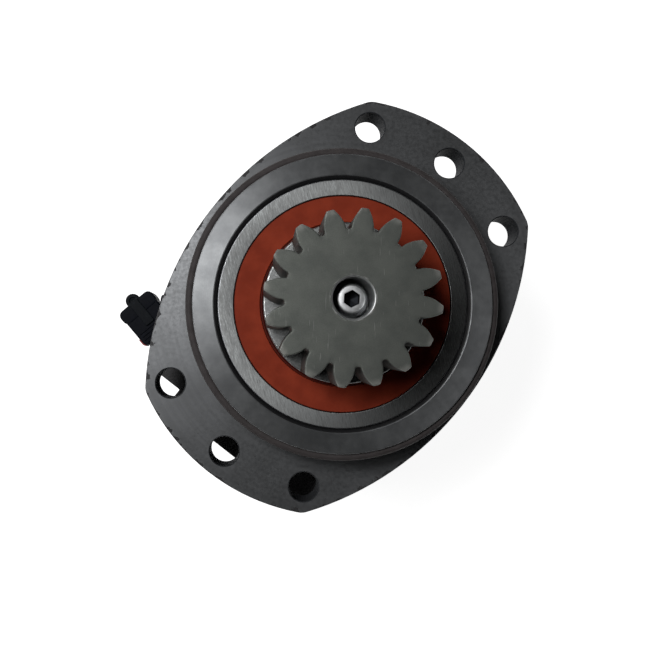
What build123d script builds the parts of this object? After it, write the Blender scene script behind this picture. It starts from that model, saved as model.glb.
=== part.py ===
from build123d import *
import math
import os

# Hydraulic drive motor with a pinion on its output shaft, one file per named piece.
# Millimetres and degrees. Z runs along the shaft towards the pinion.
# Z = 0 is the mounting face of the flange. X and Y are right and up in the photograph.

# The front bearing, from the photograph: it sets the size of what stands round it
FRONT_OUTER_R = 75.0
BEARING_SECTION = 27.5
SEAL_INSET = 10.0
RIB_INSET = 9.0
STOP_INSET = 7.0
ROLLER_INSET = 11.0
FRONT_BORE_R = FRONT_OUTER_R - BEARING_SECTION
SEAL_R = FRONT_OUTER_R - SEAL_INSET
RIB_R = FRONT_OUTER_R - RIB_INSET
SEAT_STOP_R = FRONT_OUTER_R - STOP_INSET
ROLLER_CIRCLE_R = FRONT_OUTER_R - ROLLER_INSET
PILOT_H = 32.0
RING_SINK = 0.5
FRONT_Z0 = -10.0
FRONT_Z1 = PILOT_H - RING_SINK
FRONT_RING_W = 26.0
MOUTH_CHAMFER = 2.0
RING_CHAMFER = 1.0
SEAL_T = 11.0
SEAL_SINK = 0.5
SEAL_Z0 = FRONT_Z1 - SEAL_SINK - SEAL_T
SEAL_LIP_W = 3.0
SEAL_LIP_STEP = 1.2
SEAL_LIP_SLOPE = 0.6
SEAL_EDGE = 0.5
SEAL_BEVEL = 4.0
SEAL_CLEAR = 0.03
ROLLER_R = 5.49
ROLLER_L = 20.0
ROLLER_Z0 = -4.0
ROLLER_COUNT = 24
ROLLER_EDGE = 0.5
ROLLER_PLAY = 0.1
RACE_CLEAR = 0.01
CAGE_INSIDE = 2.0
CAGE_OUTSIDE = 1.5
CAGE_OVERHANG = 2.5
CAGE_CLEAR = 0.15

# Pilot and flange round that bearing, from the photograph
PILOT_WALL = 19.0
PILOT_R = FRONT_OUTER_R + PILOT_WALL
PILOT_NOSE_STEP = 4.0
PILOT_LIP = 2.5
PILOT_GROOVE_W = 5.5
PILOT_ORING_R = 2.65
PILOT_ORING_PROUD = 0.1
PILOT_GROOVE_R = PILOT_R + PILOT_ORING_PROUD - 2 * PILOT_ORING_R
LOBE_AXIS = 52.0
BOLT_MARGIN = 23.5
EDGE_MARGIN = 17.0
SIDE_MARGIN = 8.7
BOLT_CIRCLE_R = PILOT_R + BOLT_MARGIN
LOBE_R = BOLT_CIRCLE_R + EDGE_MARGIN
SIDE_FROM_AXIS = PILOT_R + SIDE_MARGIN
SIDE_R = 201.0
LOBE_CORNER_R = 12.0
FLANGE_T = 20.0
BOLT_HOLE_R = 9.5
BOLT_SPREAD = 27.5

# Barrel and rear face of the housing
BARREL_STEP = 2.0
CAVITY_WALL = 20.0
STACK_STEP = 4.0
BARREL_R = PILOT_R - BARREL_STEP
CAVITY_R = BARREL_R - CAVITY_WALL
STACK_R = BARREL_R - STACK_STEP
REAR_Z = -110.0
REAR_BAND = 10.0
BARREL_TAPER = 16.0
NECK_CONE_W = 5.0
NECK_CONE_H = 6.0
CAVITY_TOP = -14.0
CAVITY_BOTTOM = -66.0

# Port block, in the frame of the lobes: u along them, v across
BLOCK_INSET = 10.5
BLOCK_STEP = 14.0
BLOCK_SIDE = 20.0
BLOCK_NOTCH = 22.0
BLOCK_U = BLOCK_INSET - LOBE_R
BLOCK_STEP_U = BLOCK_U + BLOCK_STEP
BLOCK_INNER_U = -60.0
BLOCK_V = BARREL_R - BLOCK_SIDE
BLOCK_STEP_V = BLOCK_V - BLOCK_NOTCH
BLOCK_TOP = -50.0
BLOCK_BOTTOM = -100.0
BLOCK_CORNER_R = 20.0
PORT_R = 13.2
PORT_DEPTH = 22.0
PORT_V = 31.0
PORT_Z = -74.0
PORT_FACE_R = 17.5
PORT_FACE_DEPTH = 1.0
DRILL_R = 6.0
DRILL_OVERLAP = 5.0
PASSAGE_R = 5.0
PASSAGE_EDGE = 11.0
PASSAGE_CIRCLE_R = STACK_R - PASSAGE_EDGE

# Cover screws
COVER_SCREW_EDGE = 12.0
COVER_SCREW_R = 6.0
COVER_SCREW_CIRCLE_R = STACK_R - COVER_SCREW_EDGE
COVER_HOLE_R = 6.6
COVER_HEAD_R = 9.0
COVER_HEAD_H = 12.0
COVER_SINK_R = 9.6
COVER_SINK = 13.0
COVER_GRIP_Z = -90.0
COVER_SOCKET = 10.0
COVER_EDGE = 2.0
COVER_RECESS = 4.0

# Rear ball bearing
REAR_EDGE = 13.5
REAR_SECTION = 22.5
REAR_RIM = 6.5
REAR_OUTER_R = COVER_SCREW_CIRCLE_R - REAR_EDGE
REAR_BORE_R = REAR_OUTER_R - REAR_SECTION
REAR_INNER_RIM_R = REAR_BORE_R + REAR_RIM
REAR_OUTER_RIM_R = REAR_OUTER_R - REAR_RIM
REAR_MID_Z = -80.0
REAR_W = 22.0
REAR_RELIEF = 1.0
BALL_R = 7.94
BALL_CIRCLE_R = (REAR_BORE_R + REAR_OUTER_R) / 2
BALL_COUNT = 14
BALL_CAGE_WALL = 2.9
BALL_CAGE_H = 18.0
SPACER_CLEAR = 0.1

# Output shaft
SHAFT_END = -104.0
SHAFT_CHAMFER = 1.5
SHOULDER_Z0 = -14.0
SHOULDER_Z1 = -9.0
SHOULDER_STEP = 6.0
SHAFT_FACE_GAP = 0.2
REAR_SHOULDER_H = 5.0
TONE_SEAT_STEP = 3.0
TONE_SEAT_R = REAR_BORE_R + TONE_SEAT_STEP
TONE_Z0 = -46.0
TONE_Z1 = -34.0
TONE_GAP = 10.0
TONE_R = CAVITY_R - TONE_GAP
TONE_TEETH = 48
TONE_SLOT = 4.0
TONE_DEPTH = 3.0
NUT_WALL = 9.0
NUT_R = REAR_BORE_R + NUT_WALL
NUT_T = 12.0
NUT_SLOT_W = 8.0
NUT_SLOT_DEPTH = 4.0

# Pinion, with involute teeth
MODULE = 5.0
TEETH = 16
PRESSURE_ANGLE = 20.0
SHIFT = 0.9
ADDENDUM = 7.5
DEDENDUM = 3.75
FIRST_TOOTH = 15.0
GEAR_FACE = 84.5
GEAR_BACK = 40.0
HUB_FOOT_STEP = 5.0
HUB_FOOT_H = 2.0
HUB_CHAMFER = 2.0
TIP_ROUND = 0.9
ROOT_FLARE = 1.1
ROOT_OVERLAP = 3.0
FLANK_START = 0.3
COUNTERBORE_R = 10.75
COUNTERBORE_FLOOR = 64.0
NOSE_END = 55.7
SPLINE_COUNT = 16
SPLINE_CORE_R = 24.5
SPLINE_TIP_R = 27.0
SPLINE_W = 5.0
SPLINE_CLEAR = 0.05
WASHER_R = 10.2
WASHER_T = 3.0
SCREW_R = 5.0
SCREW_HOLE_CLEAR = 0.5
SCREW_HEAD_R = 8.0
SCREW_HEAD_H = 10.0
SCREW_SOCKET = 8.0
SCREW_DEPTH = 25.0
TAP_SPARE = 8.0

# Rotor set: a six-lobed star in seven rollers, driven through a tilted link
LOBES = 6
PINS = 7
PIN_EDGE = 22.0
PIN_CIRCLE_R = COVER_SCREW_CIRCLE_R - PIN_EDGE
PIN_R = 10.5
PIN_CLEAR = 0.03
STAR_OFFSET = 3.8
STAR_CLEAR = 0.07
STATOR_BORE_INSET = 2.4
STATOR_BORE_R = PIN_CIRCLE_R - STATOR_BORE_INSET
WEAR_T = 8.0
STATOR_T = 30.0
MANIFOLD_T = 12.0
VALVE_T = 16.0
COVER_T = 24.0
PLATE_EDGE = 0.6
END_CLEAR = 0.02
WINDOW_INSET = 7.5
WINDOW_R = 4.0
WINDOW_CIRCLE_R = PIN_CIRCLE_R - WINDOW_INSET
VALVE_BORE_INSET = 5.3
VALVE_TRAVEL = 7.2
VALVE_BORE_R = WINDOW_CIRCLE_R - VALVE_BORE_INSET
COMMUTATOR_R = VALVE_BORE_R - VALVE_TRAVEL
VALVE_SEAL_EDGE = 4.0
VALVE_SEAL_W = 6.0
VALVE_SEAL_T = 3.0
LINK_HOLE_R = 17.0
SLOT_W = 8.0
SLOT_DEPTH = 6.0
SLOT_OVERLAP = 2.0
SECTION_GROOVE_EDGE = 3.5
SECTION_GROOVE_R = STACK_R - SECTION_GROOVE_EDGE
SECTION_ORING_R = 1.0

# Drive link with round teeth, and its sockets
LINK_FRONT_Z = -84.0
LINK_CORE_R = 14.7
LINK_SHANK_R = 9.5
LINK_END = 9.0
LINK_LAST_END = 7.0
LINK_TEETH = 10
LINK_TOOTH_R = 3.0
LINK_TOOTH_L = 5.0
LINK_TOOTH_EDGE = 0.5
LINK_TOOTH_CIRCLE_R = 14.0
SOCKET_R = 15.3
SOCKET_CLEAR = 0.35
SOCKET_END = -72.0

# Speed sensor with its plug, on the left side
SENSOR_Z = -40.0
SENSOR_R = 8.9
SENSOR_HOLE_R = 9.0
SENSOR_GAP = 1.0
BOSS_R = 14.0
BOSS_RISE = 12.0
BOSS_FACE = BARREL_R + BOSS_RISE
BOSS_ROOT = 5.0
EAR_REACH = 19.0
EAR_R = 8.0
EAR_T = 4.0
EAR_MARGIN = 1.0
EAR_SCREW_R = 3.0
EAR_SCREW_CLEAR = 0.3
EAR_SCREW_L = 14.0
EAR_HEAD_R = 5.0
EAR_HEAD_H = 6.0
EAR_SOCKET = 5.0
NECK_R = 11.0
NECK_L = 14.0
NECK_END = BOSS_FACE + NECK_L
PLUG_REACH = 9.0
PLUG_DROP = 6.0
PLUG_CENTRE = (-NECK_END - PLUG_REACH, -PLUG_DROP)
PLUG_TURN = -50.0
PLUG_L = 30.0
PLUG_W = 28.0
PLUG_H = 20.0
PLUG_CORNER_R = 4.0
PLUG_ROUND = 1.5
NUB_REACH = 1.1
NUB_R = 5.0
NUB_H = 14.0
LOCK_L = 7.0
LOCK_T = 2.0
LOCK_H = 8.0
LOCK_IN = 0.5
LOCK_DOWN = 2.0

# Drain plug and relief cartridges
DRAIN_TURN = 142.0
DRAIN_Z = -50.0
DRAIN_BOSS_R = 12.0
DRAIN_RISE = 5.0
DRAIN_FACE = BARREL_R + DRAIN_RISE
DRAIN_R = 7.0
DRAIN_L = 12.0
DRAIN_HEX = 19.0
DRAIN_HEAD_H = 6.0
RELIEF_INSET = 32.0
RELIEF_U = BLOCK_U + RELIEF_INSET
RELIEF_Z = -76.0
RELIEF_R = 9.0
RELIEF_DEPTH = 28.0
RELIEF_SPARE = 2.0
RELIEF_HEX = 24.0
RELIEF_HEX_H = 9.0
RELIEF_CAP_R = 8.0
RELIEF_CAP_H = 5.0
RELIEF_DRILL_R = 3.0

# Positions that follow from the sizes above
WEAR_Z = REAR_Z - WEAR_T
STATOR_Z = WEAR_Z - STATOR_T
MANIFOLD_Z = STATOR_Z - MANIFOLD_T
VALVE_Z = MANIFOLD_Z - VALVE_T
COVER_Z = VALVE_Z - COVER_T
STAR_MID_Z = (WEAR_Z + STATOR_Z) / 2
VALVE_MID_Z = (MANIFOLD_Z + VALVE_Z) / 2
LINK_SLOPE = STAR_OFFSET / (STAR_MID_Z - LINK_FRONT_Z)
VALVE_OFFSET = LINK_SLOPE * (VALVE_MID_Z - LINK_FRONT_Z)
PIN_STEP = 360 / PINS
PASSAGE_TURNS = (4 * PIN_STEP, 5 * PIN_STEP)
FRONT_RING_TOP = SHOULDER_Z1 + FRONT_RING_W
REAR_TOP = REAR_MID_Z + REAR_W / 2
REAR_LOW = REAR_MID_Z - REAR_W / 2

UP = (Align.CENTER, Align.CENTER, Align.MIN)


def rod(radius, z0, z1, x=0.0, y=0.0):
    """A round bar along Z."""
    return Pos(x, y, z0) * Cylinder(radius, z1 - z0, align=UP)


def ring(outer, inner, z0, z1):
    """A plain ring round Z."""
    return rod(outer, z0, z1) - rod(inner, z0, z1)


def turned(*points):
    """A turned piece from its half outline of (radius, height) points."""
    return revolve(Plane.XZ * make_face(Polyline(*points, close=True)), Axis.Z)


def polar(radius, angle):
    """X and Y of a point given by its radius and angle."""
    turn = math.radians(angle)
    return radius * math.cos(turn), radius * math.sin(turn)


def around(shape, count, first=0.0):
    """Copies of a shape, evenly spaced round Z."""
    return [Rot(0, 0, first + 360 / count * k) * shape for k in range(count)]


def side_rod(radius, start, length, z, y=0.0):
    """A round bar pointing out along -X, from its distance to the axis."""
    return Pos(-start, y, z) * Rot(0, -90, 0) * Cylinder(radius, length, align=UP)


def hexagon(flats, height):
    """A hexagonal bar standing on Z = 0."""
    return extrude(RegularPolygon(flats / math.sqrt(3), 6), height)


def screw(radius, length, head_r, head_h, socket):
    """A socket-head cap screw: the head stands on Z = 0, the shank hangs below it."""
    head = chamfer(Cylinder(head_r, head_h, align=UP).edges().group_by(Axis.Z)[-1], head_r / 10)
    pocket = Pos(0, 0, head_h * 0.4) * hexagon(socket, head_h)
    return head + rod(radius, -length, 0) - pocket


def flange_outline():
    """Two lobes joined by two flatter sides, turned to the lobes' direction."""
    shift = SIDE_R - SIDE_FROM_AXIS
    face = Circle(LOBE_R) & (Pos(0, shift) * Circle(SIDE_R)) & (Pos(0, -shift) * Circle(SIDE_R))
    return Rot(0, 0, LOBE_AXIS) * fillet(face.vertices(), LOBE_CORNER_R)


def mounting_turns():
    """Angles of the six mounting holes."""
    return [LOBE_AXIS + half + BOLT_SPREAD * k for half in (0, 180) for k in (-1, 0, 1)]


def block_outline():
    """The port block with its lower step, in the frame of the lobes."""
    corners = [
        (BLOCK_INNER_U, -BLOCK_V),
        (BLOCK_U, -BLOCK_V),
        (BLOCK_U, BLOCK_STEP_V),
        (BLOCK_STEP_U, BLOCK_STEP_V),
        (BLOCK_STEP_U, BLOCK_V),
        (BLOCK_INNER_U, BLOCK_V),
    ]
    face = make_face(Polyline(*corners, close=True))
    outer = face.vertices().sort_by_distance((BLOCK_U, -BLOCK_V, 0))[0]
    return fillet(outer, BLOCK_CORNER_R)


def relief_place(side):
    """Where a relief cartridge sits: its own Z points out of the block's side."""
    return Pos(RELIEF_U, side * BLOCK_V, RELIEF_Z) * Rot(-90 * side, 0, 0)


def cover_places():
    """X and Y of the cover screws, between the rollers."""
    return [polar(COVER_SCREW_CIRCLE_R, PIN_STEP * (k + 0.5)) for k in range(PINS)]


def passage_places():
    """X and Y of the two oil passages."""
    return [polar(PASSAGE_CIRCLE_R, turn) for turn in PASSAGE_TURNS]


def pilot():
    """The pilot with its nose lip and O-ring groove."""
    groove_top = PILOT_H - PILOT_LIP
    groove_bottom = groove_top - PILOT_GROOVE_W
    return turned(
        (0, -FLANGE_T),
        (PILOT_R, -FLANGE_T),
        (PILOT_R, groove_bottom),
        (PILOT_GROOVE_R, groove_bottom),
        (PILOT_GROOVE_R, groove_top),
        (PILOT_R - PILOT_NOSE_STEP, groove_top),
        (PILOT_R - PILOT_NOSE_STEP, PILOT_H),
        (0, PILOT_H),
    )


def casting():
    """The solid outside of the housing, before it is bored."""
    barrel = turned(
        (0, REAR_Z),
        (STACK_R, REAR_Z),
        (STACK_R, REAR_Z + REAR_BAND),
        (BARREL_R, REAR_Z + REAR_BAND + BARREL_TAPER),
        (BARREL_R, -FLANGE_T - NECK_CONE_H),
        (BARREL_R + NECK_CONE_W, -FLANGE_T),
        (0, -FLANGE_T),
    )
    block = extrude(block_outline(), BLOCK_TOP - BLOCK_BOTTOM)
    solid = extrude(flange_outline(), -FLANGE_T) + barrel + pilot()
    solid += Rot(0, 0, LOBE_AXIS) * Pos(0, 0, BLOCK_BOTTOM) * block
    root = CAVITY_R + BOSS_ROOT
    solid += side_rod(BOSS_R, root, BOSS_FACE - root, SENSOR_Z)
    solid += side_rod(EAR_R, root, BOSS_FACE - root, SENSOR_Z - EAR_REACH)
    drain_boss = side_rod(DRAIN_BOSS_R, root, DRAIN_FACE - root, DRAIN_Z)
    return solid + Rot(0, 0, DRAIN_TURN - 180) * drain_boss


def bore():
    """Everything cut out along the shaft's axis."""
    seat = turned(
        (0, FRONT_Z0),
        (FRONT_OUTER_R, FRONT_Z0),
        (FRONT_OUTER_R, PILOT_H - MOUTH_CHAMFER),
        (FRONT_OUTER_R + MOUTH_CHAMFER, PILOT_H),
        (0, PILOT_H),
    )
    cut = seat + rod(SEAT_STOP_R, CAVITY_TOP, FRONT_Z0) + rod(CAVITY_R, CAVITY_BOTTOM, CAVITY_TOP)
    cut += rod(REAR_OUTER_RIM_R + REAR_RELIEF, REAR_TOP, CAVITY_BOTTOM)
    return cut + rod(REAR_OUTER_R, REAR_Z, REAR_TOP)


def port_cuts():
    """The two ports, their drillings and the bores for the relief cartridges."""
    cuts = []
    drill_start = PASSAGE_CIRCLE_R - PASSAGE_R - PASSAGE_R / 2
    for side in (1, -1):
        port = side_rod(PORT_R, -BLOCK_U - PORT_DEPTH, PORT_DEPTH, PORT_Z, side * PORT_V)
        face = side_rod(PORT_FACE_R, -BLOCK_U - PORT_FACE_DEPTH, PORT_FACE_DEPTH, PORT_Z, side * PORT_V)
        drill = side_rod(DRILL_R, drill_start, -BLOCK_U - drill_start - DRILL_OVERLAP, PORT_Z, side * PORT_V)
        relief = relief_place(side) * (rod(RELIEF_R, -RELIEF_DEPTH, 0)
                                       + rod(RELIEF_DRILL_R, PORT_V - BLOCK_V, 0))
        cuts += [port, face, drill, relief]
    return [Rot(0, 0, LOBE_AXIS) * cut for cut in cuts]


def housing():
    """The casting with its bores, ports, mounting holes and tapped holes."""
    cuts = [bore()] + port_cuts()
    for turn in mounting_turns():
        cuts.append(rod(BOLT_HOLE_R, -FLANGE_T, 0, *polar(BOLT_CIRCLE_R, turn)))
    for place in cover_places():
        cuts.append(rod(COVER_SCREW_R, REAR_Z, COVER_GRIP_Z, *place))
    for place in passage_places():
        cuts.append(rod(PASSAGE_R, REAR_Z, PORT_Z + DRILL_R, *place))
    start = CAVITY_R - BOSS_ROOT
    cuts.append(side_rod(SENSOR_HOLE_R, start, BOSS_FACE - start, SENSOR_Z))
    cuts.append(side_rod(EAR_SCREW_R, BOSS_FACE - EAR_SCREW_L, EAR_SCREW_L, SENSOR_Z - EAR_REACH))
    drain = side_rod(DRAIN_R, start, DRAIN_FACE - start, DRAIN_Z)
    cuts.append(Rot(0, 0, DRAIN_TURN - 180) * drain)
    return casting() - cuts


def pilot_oring():
    """The O-ring behind the pilot's nose lip."""
    middle = PILOT_H - PILOT_LIP - PILOT_GROOVE_W / 2
    return Pos(0, 0, middle) * Torus(PILOT_GROOVE_R + PILOT_ORING_R, PILOT_ORING_R)


def shaft_seal():
    """The seal between the bearing's outer ring and the pinion's hub."""
    top = SEAL_Z0 + SEAL_T
    inner = FRONT_BORE_R + SEAL_CLEAR
    return turned(
        (inner, SEAL_Z0 + SEAL_BEVEL),
        (inner + SEAL_BEVEL, SEAL_Z0),
        (SEAL_R, SEAL_Z0),
        (SEAL_R, top - SEAL_EDGE),
        (SEAL_R - SEAL_EDGE, top),
        (FRONT_BORE_R + SEAL_LIP_W, top),
        (FRONT_BORE_R + SEAL_LIP_W - SEAL_LIP_SLOPE, top - SEAL_LIP_STEP),
        (inner, top - SEAL_LIP_STEP),
    )


def front_bearing_outer():
    """The outer ring, which also holds the seal in its mouth."""
    race = ROLLER_CIRCLE_R + ROLLER_R + RACE_CLEAR
    low = ROLLER_Z0 - ROLLER_PLAY
    high = ROLLER_Z0 + ROLLER_L + ROLLER_PLAY
    return turned(
        (RIB_R, FRONT_Z0),
        (FRONT_OUTER_R - RING_CHAMFER, FRONT_Z0),
        (FRONT_OUTER_R, FRONT_Z0 + RING_CHAMFER),
        (FRONT_OUTER_R, FRONT_Z1 - RING_CHAMFER),
        (FRONT_OUTER_R - RING_CHAMFER, FRONT_Z1),
        (SEAL_R, FRONT_Z1),
        (SEAL_R, SEAL_Z0),
        (RIB_R, SEAL_Z0),
        (RIB_R, high),
        (race, high),
        (race, low),
        (RIB_R, low),
    )


def front_bearing_inner():
    """The plain inner ring."""
    return ring(ROLLER_CIRCLE_R - ROLLER_R - RACE_CLEAR, FRONT_BORE_R, SHOULDER_Z1, FRONT_RING_TOP)


def front_bearing_rollers():
    """The rollers."""
    roller = rod(ROLLER_R, ROLLER_Z0, ROLLER_Z0 + ROLLER_L, ROLLER_CIRCLE_R)
    return Compound(children=around(chamfer(roller.edges(), ROLLER_EDGE), ROLLER_COUNT))


def front_bearing_cage():
    """The rollers' cage."""
    low = ROLLER_Z0 - CAGE_OVERHANG
    high = ROLLER_Z0 + ROLLER_L + CAGE_OVERHANG
    pocket = rod(ROLLER_R + CAGE_CLEAR, ROLLER_Z0 - CAGE_CLEAR, ROLLER_Z0 + ROLLER_L + CAGE_CLEAR,
                 ROLLER_CIRCLE_R)
    body = ring(ROLLER_CIRCLE_R + CAGE_OUTSIDE, ROLLER_CIRCLE_R - CAGE_INSIDE, low, high)
    return body - around(pocket, ROLLER_COUNT)


def ball_race():
    """The groove that both rear rings share."""
    return Pos(0, 0, REAR_MID_Z) * Torus(BALL_CIRCLE_R, BALL_R + RACE_CLEAR)


def rear_bearing_outer():
    """The outer ring of the ball bearing."""
    return ring(REAR_OUTER_R, REAR_OUTER_RIM_R, REAR_LOW, REAR_TOP) - ball_race()


def rear_bearing_inner():
    """The inner ring of the ball bearing."""
    return ring(REAR_INNER_RIM_R, REAR_BORE_R, REAR_LOW, REAR_TOP) - ball_race()


def rear_bearing_balls():
    """The balls."""
    ball = Pos(BALL_CIRCLE_R, 0, REAR_MID_Z) * Sphere(BALL_R)
    return Compound(children=around(ball, BALL_COUNT))


def rear_bearing_cage():
    """The balls' cage."""
    low = REAR_MID_Z - BALL_CAGE_H / 2
    inner = BALL_CIRCLE_R - BALL_CAGE_WALL / 2
    pocket = side_rod(BALL_R + CAGE_CLEAR, inner - BALL_CAGE_WALL, 3 * BALL_CAGE_WALL, REAR_MID_Z)
    body = ring(inner + BALL_CAGE_WALL, inner, low, low + BALL_CAGE_H)
    return body - around(pocket, BALL_COUNT, 180)


def bearing_spacer():
    """The sleeve between the rear bearing and the wear plate."""
    return ring(REAR_OUTER_R - SPACER_CLEAR, REAR_OUTER_RIM_R, REAR_Z, REAR_LOW)


def splines(clearance):
    """Straight-sided splines, grown by a clearance when they cut the pinion."""
    top = NOSE_END + clearance * 4
    bottom = FRONT_RING_TOP - SHAFT_FACE_GAP
    key = Pos(0, -(SPLINE_W / 2 + clearance), bottom) * Box(
        SPLINE_TIP_R + clearance, SPLINE_W + 2 * clearance, top - bottom,
        align=(Align.MIN, Align.MIN, Align.MIN))
    round_key = key & rod(SPLINE_TIP_R + clearance, bottom, top)
    return rod(SPLINE_CORE_R + clearance, bottom, top) + around(round_key, SPLINE_COUNT)


def socket():
    """A bore with grooves for the link's round teeth, from Z = 0 upwards."""
    groove = rod(LINK_TOOTH_R + SOCKET_CLEAR, 0, STATOR_T, LINK_TOOTH_CIRCLE_R)
    return rod(SOCKET_R, 0, STATOR_T) + around(groove, LINK_TEETH)


def output_shaft():
    """The shaft: splined nose, two bearing seats and a socket for the link."""
    rear_shoulder = REAR_BORE_R + SHOULDER_STEP
    front_shoulder = FRONT_BORE_R + SHOULDER_STEP
    body = turned(
        (0, SHAFT_END),
        (REAR_BORE_R - SHAFT_CHAMFER, SHAFT_END),
        (REAR_BORE_R, SHAFT_END + SHAFT_CHAMFER),
        (REAR_BORE_R, REAR_TOP),
        (rear_shoulder, REAR_TOP),
        (rear_shoulder, REAR_TOP + REAR_SHOULDER_H),
        (TONE_SEAT_R, REAR_TOP + REAR_SHOULDER_H),
        (TONE_SEAT_R, TONE_Z1),
        (FRONT_BORE_R, TONE_Z1),
        (FRONT_BORE_R, SHOULDER_Z0),
        (front_shoulder, SHOULDER_Z0),
        (front_shoulder, SHOULDER_Z1),
        (FRONT_BORE_R, SHOULDER_Z1),
        (FRONT_BORE_R, FRONT_RING_TOP - SHAFT_FACE_GAP),
        (0, FRONT_RING_TOP - SHAFT_FACE_GAP),
    )
    tapped = rod(SCREW_R, COUNTERBORE_FLOOR + WASHER_T - SCREW_DEPTH - TAP_SPARE, NOSE_END)
    inside = (Pos(0, 0, SHAFT_END) * socket()) & rod(TONE_SEAT_R, SHAFT_END, SOCKET_END)
    return body + splines(0) - tapped - inside


def tone_ring():
    """The toothed wheel that the speed sensor reads."""
    slot = Pos(TONE_R, 0, (TONE_Z0 + TONE_Z1) / 2) * Box(2 * TONE_DEPTH, TONE_SLOT, TONE_Z1 - TONE_Z0)
    return ring(TONE_R, TONE_SEAT_R, TONE_Z0, TONE_Z1) - around(slot, TONE_TEETH)


def bearing_locknut():
    """The slotted nut behind the rear bearing."""
    slot = Pos(NUT_R, 0, REAR_LOW - NUT_T / 2) * Box(2 * NUT_SLOT_DEPTH, NUT_SLOT_W, NUT_T)
    return ring(NUT_R, REAR_BORE_R, REAR_LOW - NUT_T, REAR_LOW) - around(slot, 4, 45)


def involute(angle):
    """The involute function of a pressure angle in radians."""
    return math.tan(angle) - angle


def tooth():
    """One gear tooth on the X axis, with flared roots and rounded tip corners."""
    pitch_r = MODULE * TEETH / 2
    pressure = math.radians(PRESSURE_ANGLE)
    base_r = pitch_r * math.cos(pressure)
    tip_r = pitch_r + ADDENDUM
    root_r = pitch_r - DEDENDUM
    half_pitch = (math.pi / 2 + 2 * SHIFT * math.tan(pressure)) / TEETH

    def flank(radius):
        turn = half_pitch + involute(pressure) - involute(math.acos(base_r / radius))
        return radius * math.cos(turn), radius * math.sin(turn)

    start = base_r + FLANK_START
    steps = 5
    side = [flank(start + (tip_r - TIP_ROUND - start) * k / steps) for k in range(steps + 1)]
    foot_turn = math.atan2(side[0][1] + ROOT_FLARE, root_r)
    foot = (root_r * math.cos(foot_turn), root_r * math.sin(foot_turn))
    inside = (root_r - ROOT_OVERLAP, foot[1])
    upper = Spline(*side)
    lower = Spline(*[(x, -y) for x, y in side])
    tip = ThreePointArc(side[-1], (tip_r, 0), (side[-1][0], -side[-1][1]))
    edges = [
        Polyline((inside[0], -inside[1]), inside, foot),
        Line(foot, side[0]),
        upper,
        tip,
        lower,
        Line((side[0][0], -side[0][1]), (foot[0], -foot[1])),
        Line((foot[0], -foot[1]), (inside[0], -inside[1])),
    ]
    return make_face(edges), root_r


def pinion():
    """Sixteen teeth over a round hub, with a splined bore and a counterbore for the screw."""
    profile, root_r = tooth()
    height = GEAR_FACE - GEAR_BACK
    teeth = [Pos(0, 0, GEAR_BACK) * t for t in around(extrude(profile, height), TEETH, FIRST_TOOTH)]
    foot_r = FRONT_BORE_R + HUB_FOOT_STEP
    hub = turned(
        (0, FRONT_RING_TOP),
        (foot_r, FRONT_RING_TOP),
        (foot_r, FRONT_RING_TOP + HUB_FOOT_H),
        (FRONT_BORE_R, FRONT_RING_TOP + HUB_FOOT_H),
        (FRONT_BORE_R, GEAR_BACK - HUB_CHAMFER),
        (FRONT_BORE_R - HUB_CHAMFER, GEAR_BACK),
        (0, GEAR_BACK),
    )
    solid = hub + rod(root_r, GEAR_BACK, GEAR_FACE) + teeth
    hole = rod(COUNTERBORE_R, COUNTERBORE_FLOOR, GEAR_FACE)
    hole += rod(SCREW_R + SCREW_HOLE_CLEAR, NOSE_END, GEAR_FACE)
    return solid - splines(SPLINE_CLEAR) - hole


def pinion_washer():
    """The thick washer under the pinion's screw."""
    return ring(WASHER_R, SCREW_R + SCREW_HOLE_CLEAR, COUNTERBORE_FLOOR, COUNTERBORE_FLOOR + WASHER_T)


def pinion_screw():
    """The cap screw that holds the pinion."""
    cap = screw(SCREW_R, SCREW_DEPTH, SCREW_HEAD_R, SCREW_HEAD_H, SCREW_SOCKET)
    return Pos(0, 0, COUNTERBORE_FLOOR + WASHER_T) * cap


def plate(z0, z1, inner):
    """A round section of the rear stack with its screw holes and oil passages."""
    holes = [rod(COVER_HOLE_R, z0, z1, *place) for place in cover_places()]
    holes += [rod(PASSAGE_R, z0, z1, *place) for place in passage_places()]
    outer = chamfer(rod(STACK_R, z0, z1).edges(), PLATE_EDGE)
    return outer - rod(inner, z0, z1) - holes


def section_groove(z1):
    """The O-ring groove in a section's upper face."""
    return ring(SECTION_GROOVE_R + SECTION_ORING_R, SECTION_GROOVE_R - SECTION_ORING_R,
                z1 - 2 * SECTION_ORING_R, z1)


def wear_plate():
    """The plate between the housing and the rotor set."""
    return plate(WEAR_Z, REAR_Z, LINK_HOLE_R) - section_groove(REAR_Z)


def stator_ring():
    """The ring with seven half-round pockets for its rollers."""
    pocket = rod(PIN_R + PIN_CLEAR, STATOR_Z, WEAR_Z, PIN_CIRCLE_R)
    return plate(STATOR_Z, WEAR_Z, STATOR_BORE_R) - around(pocket, PINS) - section_groove(WEAR_Z)


def stator_rollers():
    """The seven rollers in the stator ring."""
    roller = rod(PIN_R, STATOR_Z + END_CLEAR, WEAR_Z - END_CLEAR, PIN_CIRCLE_R)
    return Compound(children=around(roller, PINS))


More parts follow.
